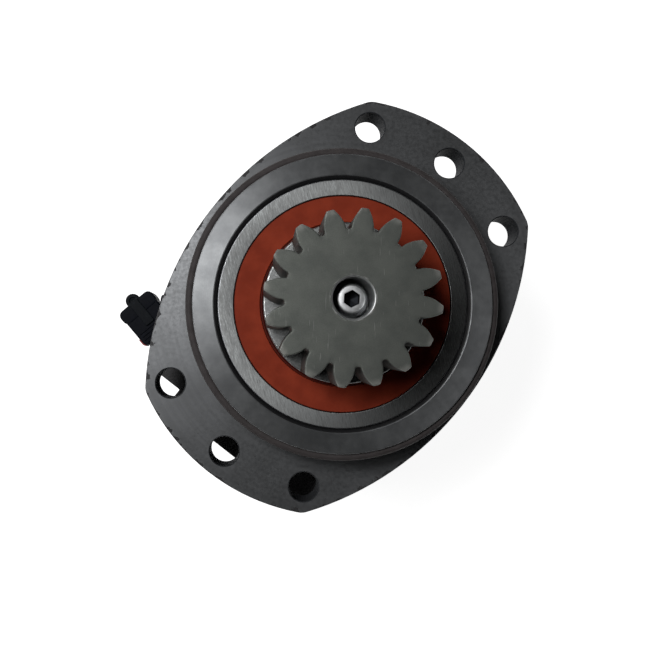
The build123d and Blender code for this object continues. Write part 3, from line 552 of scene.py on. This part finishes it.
def gear_steel():
    """Matte grey-green pinion with painted shade below its top face, tooth tips painted lighter for wear
    and a painted highlight, and scratches round its counterbore.
    """
    s = Surface("gear_steel", (0.15, 0.16, 0.145), 0.6, 0.85, Specular_IOR_Level=0.4)
    cloud = s.noise(12.0, 4.0)
    fine = s.noise(0.6, 3.0)
    colour = s.mix(s.ramp(cloud, 0.3, 0.7), (0.120, 0.128, 0.118), (0.150, 0.159, 0.145))
    # Painted shade: the tooth flanks and everything else below the top face are painted darker
    face = s.ramp(s.part("Z"), GEAR_TOP - 1.2, GEAR_TOP - 0.4)
    colour = s.mix(face, (0.062, 0.064, 0.060), colour)
    # Tooth tips painted lighter on the top face, partly wear and partly a painted highlight
    tip = s.math("MULTIPLY", s.math("MULTIPLY", s.ramp(s.radius(), TIP_R - 4.5, TIP_R - 0.5), face),
                 s.ramp(s.noise(7.0, 2.0), 0.3, 0.6))
    colour = s.mix(s.math("MULTIPLY", tip, 0.75), colour, (0.30, 0.30, 0.28))
    stroke_point = s.vector(s.math("MULTIPLY", s.angle(), 2.75), s.math("MULTIPLY", s.radius(), 1.6), 0.0)
    strokes = s.noise(0.8, 2.0, stroke_point)
    rim = s.math("MULTIPLY", s.ramp(s.radius(), COUNTERBORE_R + 2.45, COUNTERBORE_R + 0.55),
                 s.ramp(strokes, 0.5, 0.62))
    scratch = s.math("MULTIPLY", s.ramp(s.noise(1.0, 1.0, s.stretched(1.4, 0.09, 1.0)), 0.72, 0.75), face)
    wall = s.math("MULTIPLY", s.ramp(s.radius(), COUNTERBORE_R + 1.3, COUNTERBORE_R + 1.0),
                  s.ramp(s.part("Z"), COUNTERBORE_FLOOR - 4.0, COUNTERBORE_FLOOR - 2.0))
    worn = s.math("MAXIMUM", rim, s.math("MULTIPLY", scratch, 0.2))
    bored = s.mix(s.line(s.part("Z"), 0.8, 2.0), (0.18, 0.19, 0.19), (0.55, 0.56, 0.56))
    s.set("Base Color", s.mix(wall, s.mix(worn, colour, (0.5, 0.5, 0.49)), bored))
    s.set("Roughness", s.number(wall, s.number(s.ramp(fine, 0.3, 0.7), 0.54, 0.66), 0.33))
    s.bump(fine, 0.012)
    return s.material


def turned_steel(name, tone, rough):
    """Turned and ground steel."""
    s = Surface(name, (tone, tone, tone), rough, 1.0)
    cloud = s.noise(7.0, 3.0)
    dark = (tone * 0.8, tone * 0.81, tone * 0.82)
    s.set("Base Color", s.mix(s.ramp(cloud, 0.3, 0.7), dark, (tone, tone * 1.01, tone * 1.02)))
    s.set("Roughness", s.number(s.noise(1.6, 4.0), rough * 0.8, rough * 1.35))
    s.bump(s.line(s.math("ADD", s.radius(), s.part("Z")), 0.3, 4.0), 0.008)
    return s.material


def ground_plate():
    """The ground plates of the rear stack, with fine marks round them and a few oily stains."""
    s = Surface("section_steel", (0.2, 0.2, 0.2), 0.4, 1.0)
    marks = s.line(s.math("ADD", s.radius(), s.part("Z")), 0.35, 3.0)
    wide = s.noise(1.0, 3.0, s.stretched(0.02, 0.02, 0.35))
    stain = s.ramp(s.noise(22.0, 3.0), 0.50, 0.72)
    colour = s.mix(s.ramp(wide, 0.35, 0.65), (0.098, 0.100, 0.103), (0.130, 0.132, 0.135))
    s.set("Base Color", s.mix(s.math("MULTIPLY", stain, 0.3), colour, (0.075, 0.072, 0.066)))
    s.set("Roughness", s.number(stain, 0.34, 0.42))
    s.bump(marks, 0.012)
    return s.material


def zinc_plate():
    """Zinc-plated screws, plugs and cartridges, dulled in patches."""
    s = Surface("plated_steel", (0.36, 0.37, 0.38), 0.4, 1.0)
    dull = s.ramp(s.noise(4.0, 4.0), 0.40, 0.68)
    scuff = s.ramp(s.noise(1.0, 2.0, s.stretched(0.5, 0.5, 2.2)), 0.62, 0.72)
    colour = s.mix(dull, (0.27, 0.28, 0.29), (0.21, 0.215, 0.22))
    s.set("Base Color", s.mix(s.math("MULTIPLY", scuff, 0.3), colour, (0.42, 0.425, 0.43)))
    s.set("Roughness", s.number(dull, 0.33, 0.5))
    s.bump(s.noise(0.8, 3.0), 0.012)
    return s.material


def worn_steel():
    """The pinion's bright collar, with darker rubbed patches and scratches."""
    s = Surface("collar_steel", (0.45, 0.46, 0.46), 0.36, 1.0)
    patch = s.ramp(s.noise(2.4, 4.0, rough=0.65), 0.42, 0.60)
    marks = s.ramp(s.noise(1.0, 2.0, s.stretched(0.25, 0.9, 0.25)), 0.55, 0.7)
    colour = s.mix(patch, (0.20, 0.205, 0.205), (0.34, 0.35, 0.35))
    s.set("Base Color", s.mix(s.math("MULTIPLY", marks, 0.45), colour, (0.55, 0.56, 0.55)))
    s.set("Roughness", s.number(patch, 0.5, 0.3))
    s.bump(s.noise(1.5, 4.0), 0.03)
    s.bump(marks, 0.02)
    return s.material


def screw_steel():
    """The bright head of the pinion's screw, with painted shade inside its socket."""
    s = Surface("screw_steel", (0.75, 0.76, 0.77), 0.34, 1.0)
    socket_r = SOCKET_FLATS / 2 + 0.7
    # Painted shade: the inside of the socket is painted near black
    socket_shade = s.math("MULTIPLY", s.ramp(s.radius(), socket_r + 0.2, socket_r),
                    s.ramp(s.part("Z"), HEAD_TOP - 0.2, HEAD_TOP - 1.2))
    colour = s.mix(s.ramp(s.noise(2.5, 3.0), 0.3, 0.7), (0.62, 0.63, 0.64), (0.80, 0.81, 0.82))
    s.set("Base Color", s.mix(socket_shade, colour, (0.012, 0.013, 0.015)))
    s.set("Roughness", s.number(s.noise(0.9, 3.0), 0.40, 0.54))
    s.bump(s.line(s.radius(), 0.25, 3.0), 0.006)
    return s.material


def moulded(name, colour):
    """Black moulded plastic with paler dusty patches."""
    s = Surface(name, colour, 0.5, 0.0, Specular_IOR_Level=0.05)
    dust = s.ramp(s.noise(3.0, 4.0), 0.55, 0.75)
    s.set("Base Color", s.mix(s.math("MULTIPLY", dust, 0.35), colour, tuple(3 * c + 0.006 for c in colour)))
    s.set("Roughness", s.number(s.noise(1.5, 3.0), 0.42, 0.6))
    s.bump(s.noise(0.35, 2.0), 0.02)
    return s.material


def dark_metal(name, colour, rough):
    """Black-oxide steel."""
    s = Surface(name, colour, rough, 0.8)
    light = tuple(c * 1.6 for c in colour)
    s.set("Base Color", s.mix(s.ramp(s.noise(5.0, 4.0), 0.35, 0.7), colour, light))
    s.set("Roughness", s.number(s.noise(1.2, 3.0), rough * 0.85, rough * 1.2))
    s.bump(s.noise(0.8, 3.0), 0.02)
    return s.material


def matte(name, colour, rough, depth, gloss):
    """Plain plastic or rubber."""
    s = Surface(name, colour, rough, 0.0, Specular_IOR_Level=gloss)
    light = tuple(c * 1.35 for c in colour)
    s.set("Base Color", s.mix(s.ramp(s.noise(6.0, 3.0), 0.3, 0.75), colour, light))
    s.set("Roughness", s.number(s.noise(2.0, 3.0), rough * 0.85, rough * 1.15))
    s.bump(s.noise(0.5, 3.0), depth)
    return s.material


IRON_FACE = machined_iron()
IRON_PILOT = pilot_iron()
IRON_SKIN = cast_skin()
IRON_HOLE = hole_iron()
RING = ring_steel()
SEAL = seal_rubber()
GEAR = gear_steel()
COLLAR = worn_steel()
SHAFT = turned_steel("shaft_steel", 0.5, 0.3)
PLATED = zinc_plate()
SCREW_HEAD = screw_steel()
SECTION = ground_plate()
OXIDE = dark_metal("dark_steel", (0.05, 0.05, 0.055), 0.42)
ORING = matte("oring_rubber", (0.050, 0.044, 0.044), 0.6, 0.03, 0.12)
BLACK = moulded("black_plastic", (0.0045, 0.0055, 0.009))
WORN_BLACK = moulded("rubbed_plastic", (0.008, 0.0095, 0.012))
RED = matte("red_plastic", (0.30, 0.012, 0.010), 0.45, 0.02, 0.4)


# Materials of the CAD nodes that stay as they are
PAINT = {
    "front_bearing_inner": RING,
    "front_bearing_rollers": COLLAR,
    "front_bearing_cage": OXIDE,
    "rear_bearing_outer": RING,
    "rear_bearing_inner": RING,
    "rear_bearing_balls": COLLAR,
    "rear_bearing_cage": OXIDE,
    "bearing_spacer": SHAFT,
    "bearing_locknut": OXIDE,
    "output_shaft": SHAFT,
    "tone_ring": OXIDE,
    "wear_plate": SECTION,
    "stator_ring": SECTION,
    "stator_rollers": COLLAR,
    "star_rotor": SHAFT,
    "manifold_plate": SECTION,
    "commutator_ring": SECTION,
    "commutator": SHAFT,
    "commutator_seal": BLACK,
    "drive_link": SHAFT,
    "section_orings": ORING,
}


def paint(piece, *materials):
    """Gives a piece these materials in order."""
    piece.data.materials.clear()
    for material in materials:
        piece.data.materials.append(material)


for node, material in PAINT.items():
    paint(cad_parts[node], material)
    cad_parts[node].data.shade_smooth()
    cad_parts[node].data.set_sharp_from_angle(angle=math.radians(30))


# Housing: rounded edges, machined faces apart from the cast skin
def hole_places():
    """X and Y of the six mounting holes."""
    turns = [LOBE_AXIS + half + BOLT_SPREAD * k for half in (0, 180) for k in (-1, 0, 1)]
    return [Vector(polar(BOLT_CIRCLE_R, turn)) for turn in turns]


def housing_zone(centre, normal, holes):
    """Which of the housing's finishes a face has: 0 cast, 1 turned face, 2 pilot, 3 holes."""
    flat = Vector((centre.x, centre.y))
    radius = flat.length
    if abs(centre.z) < 0.02 and normal.z > 0.99:
        return 1
    if radius < PILOT_R + 0.6 and centre.z > -0.05:
        return 2
    if radius < MOUTH_R:
        return 3
    if -FLANGE_T < centre.z < 0.05 and min((flat - h).length for h in holes) < BOLT_HOLE_R + 0.9:
        return 3
    if centre.z > -0.6 and normal.z > 0.5:
        return 1
    return 0


housing = cad_copy("housing_casting", "housing", 0.7)
paint(housing, IRON_SKIN, IRON_FACE, IRON_PILOT, IRON_HOLE)
holes = hole_places()
for face in housing.data.polygons:
    face.material_index = housing_zone(face.center / MM, face.normal, holes)
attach(housing, "casing")


# Front bearing ring, seal and O-ring
ring_outline = [(RIB_R, RING_BOTTOM), (RING_OUTER_R, RING_BOTTOM), (RING_OUTER_R, RING_TOP, 1.0),
                (SEAL_OUTER_R + 0.15, RING_TOP, 0.5), (SEAL_OUTER_R + 0.05, RING_STEP), (RIB_R, RING_STEP),
                (RIB_R, RACE_TOP), (RACE_R, RACE_TOP), (RACE_R, RACE_BOTTOM), (RIB_R, RACE_BOTTOM)]
bearing_ring = lathe("bearing_ring", soften(ring_outline, 0.4))
paint(bearing_ring, RING)
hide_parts("front_bearing_outer")
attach(bearing_ring, "casing")

seal_outline = [(HUB_R + 0.05, SEAL_BOTTOM + 3.8), (HUB_R + 4.0, SEAL_BOTTOM),
                (SEAL_OUTER_R - 0.1, SEAL_BOTTOM), (SEAL_OUTER_R - 0.1, SEAL_TOP, 0.5),
                (HUB_R + 2.0, SEAL_TOP, 0.4),
                (HUB_R + 1.6, SEAL_TOP - 1.2, 0.2), (HUB_R + 0.9, SEAL_TOP - 0.9, 0.3),
                (HUB_R + 0.05, SEAL_TOP - 1.8)]
seal = lathe("seal_disc", soften(seal_outline, 0.3))
paint(seal, SEAL)
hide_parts("shaft_seal")
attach(seal, "casing")

cord = [polar(ORING_CORD_R, 15 * k) for k in range(24)]
oring_outline = [(ORING_INNER_R + ORING_CORD_R + out, ORING_Z + up) for out, up in cord]
oring = lathe("oring", oring_outline, 360, 60.0)
paint(oring, ORING)
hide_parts("pilot_oring")
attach(oring, "casing")


# Pinion: the teeth's outline inset at its ends for rounded edges, over a bright hub
def involute(angle):
    """The involute function of an angle in radians."""
    return math.tan(angle) - angle


def gear_outline(inset=0.0):
    """One outline round all teeth, moved in by an inset."""
    pitch_r = MODULE * TEETH / 2
    pressure = math.radians(20)
    base_r = pitch_r * math.cos(pressure)
    half_pitch = (math.pi / 2 + 2 * TOOTH_SHIFT * math.tan(pressure)) / TEETH
    start_r = base_r + 0.3

    def flank(radius):
        return half_pitch + involute(pressure) - involute(math.acos(base_r / radius))

    top = TIP_R - 0.7
    wide = flank(top)
    half = [(TIP_R, 0.0), (TIP_R - 0.03, wide * 0.55), (TIP_R - 0.25, wide * 0.92)]
    for k in range(FLANK_POINTS + 1):
        radius = top - (top - start_r) * k / FLANK_POINTS
        half.append((radius, flank(radius)))
    foot = flank(start_r)
    gap = math.pi / TEETH
    half.append((ROOT_R + 0.6, foot + (gap - foot) * 0.16))
    half.append((ROOT_R + 0.12, foot + (gap - foot) * 0.5))
    tooth = [(r, -turn) for r, turn in reversed(half[1:])] + half
    points = []
    for k in range(TEETH):
        middle = math.radians(FIRST_TOOTH + 360 / TEETH * k)
        points += [Vector((r * math.cos(middle + turn), r * math.sin(middle + turn))) for r, turn in tooth]
        points.append(Vector(polar(ROOT_R, FIRST_TOOTH + 360 / TEETH * (k + 0.5))))
    count = len(points)
    moved = []
    for k, point in enumerate(points):
        along = (points[(k + 1) % count] - points[k - 1]).normalized()
        moved.append(point + Vector((-along.y, along.x)) * inset)
    return moved


def circle_like(outline, radius):
    """A circle with a point on the ray of each point of an outline."""
    return [point.normalized() * radius for point in outline]


def at(outline, z):
    """The points of a flat outline at a height."""
    return [(p[0], p[1], z) for p in outline]


full = gear_outline()
sections = [at(circle_like(full, GEAR_INNER_R), GEAR_BACK - 1.0), at(full, GEAR_BACK - 1.0),
            at(full, GEAR_TOP - GEAR_EDGE)]
for share, drop in ((0.12, 0.5), (0.45, 0.14), (0.9, 0.0)):
    sections.append(at(gear_outline(GEAR_EDGE * share), GEAR_TOP - GEAR_EDGE * drop))
for radius, z in ((33.0, GEAR_TOP), (22.0, GEAR_TOP), (COUNTERBORE_R + 1.1, GEAR_TOP),
                  (COUNTERBORE_R + 0.5, GEAR_TOP - 0.3), (COUNTERBORE_R, GEAR_TOP - 0.9),
                  (COUNTERBORE_R, COUNTERBORE_FLOOR), (SCREW_HOLE_R, COUNTERBORE_FLOOR),
                  (SCREW_HOLE_R, GEAR_INNER_TOP), (GEAR_INNER_R, GEAR_INNER_TOP)):
    sections.append(at(circle_like(full, radius), z))
teeth = stack("pinion_teeth", sections, 40.0, close=True)
paint(teeth, GEAR)
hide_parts("pinion")
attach(teeth, "shaft")

hub_outline = [(HUB_INNER_R, HUB_BOTTOM), (HUB_FOOT_R, HUB_BOTTOM), (HUB_FOOT_R, HUB_FOOT_TOP),
               (HUB_R, HUB_FOOT_TOP), (HUB_R, GEAR_BACK, 1.2), (HUB_INNER_R, GEAR_BACK)]
hub = lathe("pinion_hub", soften(hub_outline, 0.3))
paint(hub, COLLAR)
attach(hub, "shaft")


# Screw and washer in the counterbore
washer_outline = [(SCREW_HOLE_R, COUNTERBORE_FLOOR), (WASHER_R, COUNTERBORE_FLOOR),
                  (WASHER_R, WASHER_TOP, 0.6), (SCREW_HOLE_R, WASHER_TOP)]
washer = lathe("washer", soften(washer_outline, 0.3), 120)
paint(washer, PLATED)
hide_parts("pinion_washer")
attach(washer, "shaft")


def hexagon_like(count, flats):
    """The socket's hexagon, with points on evenly spaced rays."""
    points = []
    for k in range(count):
        turn = 360 / count * k
        local = (turn - SOCKET_TURN) % 60 - 30
        points.append(Vector(polar(flats / 2 / math.cos(math.radians(local)), turn)))
    return points


def socket_screw(name, count):
    """The cap screw, with its head upwards and a hexagon socket."""
    def circle(r, z):
        return at([Vector(polar(r, 360 / count * k)) for k in range(count)], z)

    edge = HEAD_R * 0.15
    hexagon = hexagon_like(count, SOCKET_FLATS)
    wide = hexagon_like(count, SOCKET_FLATS + 0.5)
    floor = HEAD_TOP - (HEAD_TOP - WASHER_TOP) * 0.62
    rings = [circle(0.01, SCREW_BOTTOM), circle(SCREW_R - 0.6, SCREW_BOTTOM),
             circle(SCREW_R, SCREW_BOTTOM + 0.8), circle(SCREW_R, WASHER_TOP),
             circle(HEAD_R - 0.2, WASHER_TOP), circle(HEAD_R, WASHER_TOP + 0.3),
             circle(HEAD_R, HEAD_TOP - edge), circle(HEAD_R - edge * 0.25, HEAD_TOP - edge * 0.45),
             circle(HEAD_R - edge, HEAD_TOP),
             at(wide, HEAD_TOP), at(hexagon, HEAD_TOP - 0.3), at(hexagon, floor), circle(0.01, floor - 0.8)]
    return stack(name, rings, 40.0)


screw = socket_screw("screw", 72)
paint(screw, SCREW_HEAD)
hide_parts("pinion_screw")
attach(screw, "shaft")


# Plug of the speed sensor: a ribbed block with a wider collar, a latch and a round nub
def plate_outline(low_x, high_x, half_y, radius):
    """A rectangle with rounded corners, in the plug's own frame."""
    steps = 5
    points = []
    for sx, sy, first in ((1, 1, 0), (-1, 1, 90), (-1, -1, 180), (1, -1, 270)):
        corner = Vector(((high_x - radius) if sx > 0 else (low_x + radius), sy * (half_y - radius)))
        for k in range(steps + 1):
            points.append(corner + Vector(polar(radius, first + 90 * k / steps)))
    return points


def pillow(name, low_x, high_x, half_y, z0, z1, radius, edge):
    """A block with rounded corners and edges, in the plug's own frame."""
    quarter = [polar(edge, 30 * k) for k in range(4)]
    levels = [(edge - out, edge - up) for out, up in quarter]
    sections = []
    for z, side, steps in ((z0, 1, levels), (z1, -1, levels[::-1])):
        for rise, inset in steps:
            outline = plate_outline(low_x + inset, high_x - inset, half_y - inset, max(radius - inset, 0.1))
            sections.append(at(outline, z + side * rise))
    middle = Vector(((low_x + high_x) / 2, 0.0))
    tip = [middle + (p - middle) * 0.01 for p in plate_outline(low_x, high_x, half_y, radius)]
    return stack(name, [at(tip, z0)] + sections + [at(tip, z1)], 30.0)


def set_plug(piece):
    """Moves a mesh from the plug's own frame to its place."""
    place = Matrix.Translation(Vector(PLUG_PLACE) * MM) @ Matrix.Rotation(math.radians(PLUG_TURN), 4, "Z")
    piece.data.transform(place)
    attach(piece, "casing")


half_x, half_y, half_z = (size / 2 for size in PLUG_SIZE)
plug = pillow("plug_body", -half_x + 1.0, half_x, half_y - 0.8, -half_z, half_z - 0.3, PLUG_CORNER_R, 1.2)
collar = pillow("plug_collar", -half_x, -half_x + 10.5, half_y, -half_z, half_z, PLUG_CORNER_R, 1.0)
latch = pillow("plug_latch", -half_x - 0.6, half_x - 11.0, 3.6, half_z - 1.0, half_z + 0.9, 1.2, 0.5)
plug_pieces = [plug, collar, latch]
for k in range(4):
    rib_x = half_x - 10.0 + PLUG_RIB_STEP * k
    plug_pieces.append(pillow(f"plug_rib_{k + 1}", rib_x, rib_x + PLUG_RIB_W, half_y - 3.2,
                              half_z - 1.0, half_z + 0.25, 0.5, 0.3))
nub_outline = [(0.01, -NUB_H / 2), (NUB_R - 0.6, -NUB_H / 2), (NUB_R - 0.6, 2.0, 0.2), (NUB_R, 2.6, 0.2),
               (NUB_R, NUB_H / 2, 1.0), (NUB_R * 0.5, NUB_H / 2, 0.2), (NUB_R * 0.45, NUB_H / 2 - 1.0, 0.2),
               (0.01, NUB_H / 2 - 1.0)]
nub = lathe("plug_nub", soften(nub_outline, 0.2), 48)
nub.data.transform(Matrix.Translation((NUB_X * MM, 0, 0)))
plug_pieces.append(nub)
for piece in plug_pieces:
    paint(piece, WORN_BLACK if piece in (latch, nub) else BLACK)
    set_plug(piece)
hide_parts("sensor_connector")


# Rounded edges on the small parts and the rear stack
for node, body_slot, width, material in (
        ("speed_sensor", "black_plastic", 0.6, BLACK),
        ("sensor_screw", "plated_steel", 0.4, PLATED),
        ("sensor_lock", "red_plastic", 0.3, RED),
        ("drain_plug", "plated_steel", 0.5, PLATED),
        ("relief_valve_a", "plated_steel", 0.6, PLATED),
        ("relief_valve_b", "plated_steel", 0.6, PLATED),
        ("end_cover", "cast_iron", 0.6, IRON_SKIN),
        ("cover_bolts", "dark_steel", 0.3, OXIDE)):
    copy = cad_copy(node + "_edged", node, width)
    paint(copy, material)
    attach(copy, "casing")


# Threads in the two ports
def thread(name):
    """The ridge of a port's thread, with the port's mouth at Z = 0. It fades out at both ends."""
    steps = 48
    half_w = THREAD_PITCH * 0.42
    points = []
    faces = []
    count = int(THREAD_DEPTH / THREAD_PITCH * steps)
    for k in range(count + 1):
        height = -1.0 - THREAD_DEPTH * k / count
        rise = THREAD_RISE * min(1.0, k / steps * 2, (count - k) / steps * 2)
        for out, up in ((0.1, -half_w), (-max(rise, 0.02), 0.0), (0.1, half_w)):
            points.append((*polar(PORT_R + out, 360 * k / steps), height + up))
        if k:
            low, high = 3 * (k - 1), 3 * k
            faces += [(low + j, low + (j + 1) % 3, high + (j + 1) % 3, high + j) for j in range(3)]
    faces += [(0, 1, 2), (3 * count, 3 * count + 2, 3 * count + 1)]
    return add_mesh(name, points, faces, 50.0)


for side in (1, -1):
    ridge = thread("port_thread_a" if side > 0 else "port_thread_b")
    place = Matrix.Rotation(math.radians(LOBE_AXIS), 4, "Z")
    place @= Matrix.Translation(Vector((PORT_FACE_U, side * PORT_V, PORT_Z)) * MM)
    ridge.data.transform(place @ Matrix.Rotation(math.radians(-90), 4, "Y"))
    paint(ridge, IRON_HOLE)
    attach(ridge, "casing")


# Floor, light and camera
def direction(turn, tilt):
    """A unit vector from its angle round Z and its angle off Z."""
    return Vector((*polar(math.sin(math.radians(tilt)), turn), math.cos(math.radians(tilt))))


def combine(tree, kind, a, b):
    """The greater, product or other result of two outputs."""
    node = tree.nodes.new("ShaderNodeMath")
    node.operation = kind
    tree.links.new(a, node.inputs[0])
    tree.links.new(b, node.inputs[1])
    return node.outputs[0]


def smooth_range(tree, value, start, end):
    """A smooth step over one span of a value, to another span."""
    node = tree.nodes.new("ShaderNodeMapRange")
    node.interpolation_type = "SMOOTHSTEP"
    tree.links.new(value, node.inputs[0])
    for k, number in enumerate((*start, *end)):
        node.inputs[k + 1].default_value = number
    return node.outputs[0]


def seen_rays(tree):
    """1 for rays from the camera, reflections and clear parts, and 0 for light on the object."""
    path = tree.nodes.new("ShaderNodeLightPath")
    seen = path.outputs["Is Camera Ray"]
    for kind in ("Is Glossy Ray", "Is Transmission Ray"):
        seen = combine(tree, "MAXIMUM", seen, path.outputs[kind])
    return seen


def make_floor(height):
    """A round pale floor that shows white and keeps the object's shadow."""
    points = [(*polar(FLOOR_R, 360 / FLOOR_SIDES * k), 0.0) for k in range(FLOOR_SIDES)]
    floor = add_mesh("floor", points, [tuple(range(FLOOR_SIDES))])
    floor.location.z = height
    material = bpy.data.materials.new("floor")
    material.use_nodes = True
    tree = material.node_tree
    tree.nodes.clear()
    glow = tree.nodes.new("ShaderNodeMath")
    glow.operation = "MULTIPLY"
    tree.links.new(seen_rays(tree), glow.inputs[0])
    glow.inputs[1].default_value = PALE
    emission = tree.nodes.new("ShaderNodeEmission")
    tree.links.new(glow.outputs[0], emission.inputs["Strength"])
    diffuse = tree.nodes.new("ShaderNodeBsdfDiffuse")
    diffuse.inputs["Color"].default_value = (0.8, 0.8, 0.8, 1)
    both = tree.nodes.new("ShaderNodeAddShader")
    tree.links.new(emission.outputs[0], both.inputs[0])
    tree.links.new(diffuse.outputs[0], both.inputs[1])
    out = tree.nodes.new("ShaderNodeOutputMaterial")
    tree.links.new(both.outputs[0], out.inputs["Surface"])
    floor.data.materials.append(material)
    floor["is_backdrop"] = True


def make_world():
    """A pale horizon under a dim sky that is brighter on the lamps' side."""
    world = bpy.data.worlds.new("studio")
    bpy.context.scene.world = world
    world.use_nodes = True
    tree = world.node_tree
    ground = tree.nodes["Background"]
    where = tree.nodes.new("ShaderNodeTexCoord")
    split = tree.nodes.new("ShaderNodeSeparateXYZ")
    tree.links.new(where.outputs["Generated"], split.inputs[0])
    low = smooth_range(tree, split.outputs["Z"], HORIZON, (PALE, 0.0))
    band = combine(tree, "MULTIPLY", low, seen_rays(tree))
    dot = tree.nodes.new("ShaderNodeVectorMath")
    dot.operation = "DOT_PRODUCT"
    tree.links.new(where.outputs["Generated"], dot.inputs[0])
    dot.inputs[1].default_value = direction(SKY_TURN, SKY_TILT)
    near = smooth_range(tree, dot.outputs["Value"], (0.6, 1.0), SKY_STRENGTH)
    tree.links.new(combine(tree, "MAXIMUM", band, near), ground.inputs["Strength"])
    ground.inputs["Color"].default_value = (1, 1, 1, 1)


make_floor(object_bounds()[0].z - 0.1 * MM)
make_world()

for name, (turn, tilt, distance, size, power, diffuse, mirrored) in LAMPS.items():
    light = bpy.data.lights.new(name, "AREA")
    light.shape = "DISK"
    light.size = size * MM
    light.energy = power
    light.diffuse_factor = diffuse
    light.specular_factor = mirrored
    lamp = bpy.data.objects.new(name, light)
    bpy.context.scene.collection.objects.link(lamp)
    lamp.location = direction(turn, tilt) * distance * MM
    lamp.rotation_mode = "QUATERNION"
    lamp.rotation_quaternion = lamp.location.to_track_quat("Z", "Y")

camera_data = bpy.data.cameras.new("camera")
camera_data.lens = LENS
camera_data.sensor_width = 36.0
camera_data.shift_x, camera_data.shift_y = SHIFT
camera_data.clip_start = 0.01
camera = bpy.data.objects.new("camera", camera_data)
bpy.context.scene.collection.objects.link(camera)
camera.location = Vector(EYE) * MM
bpy.context.scene.camera = camera
bpy.context.scene.view_settings.view_transform = "Standard"
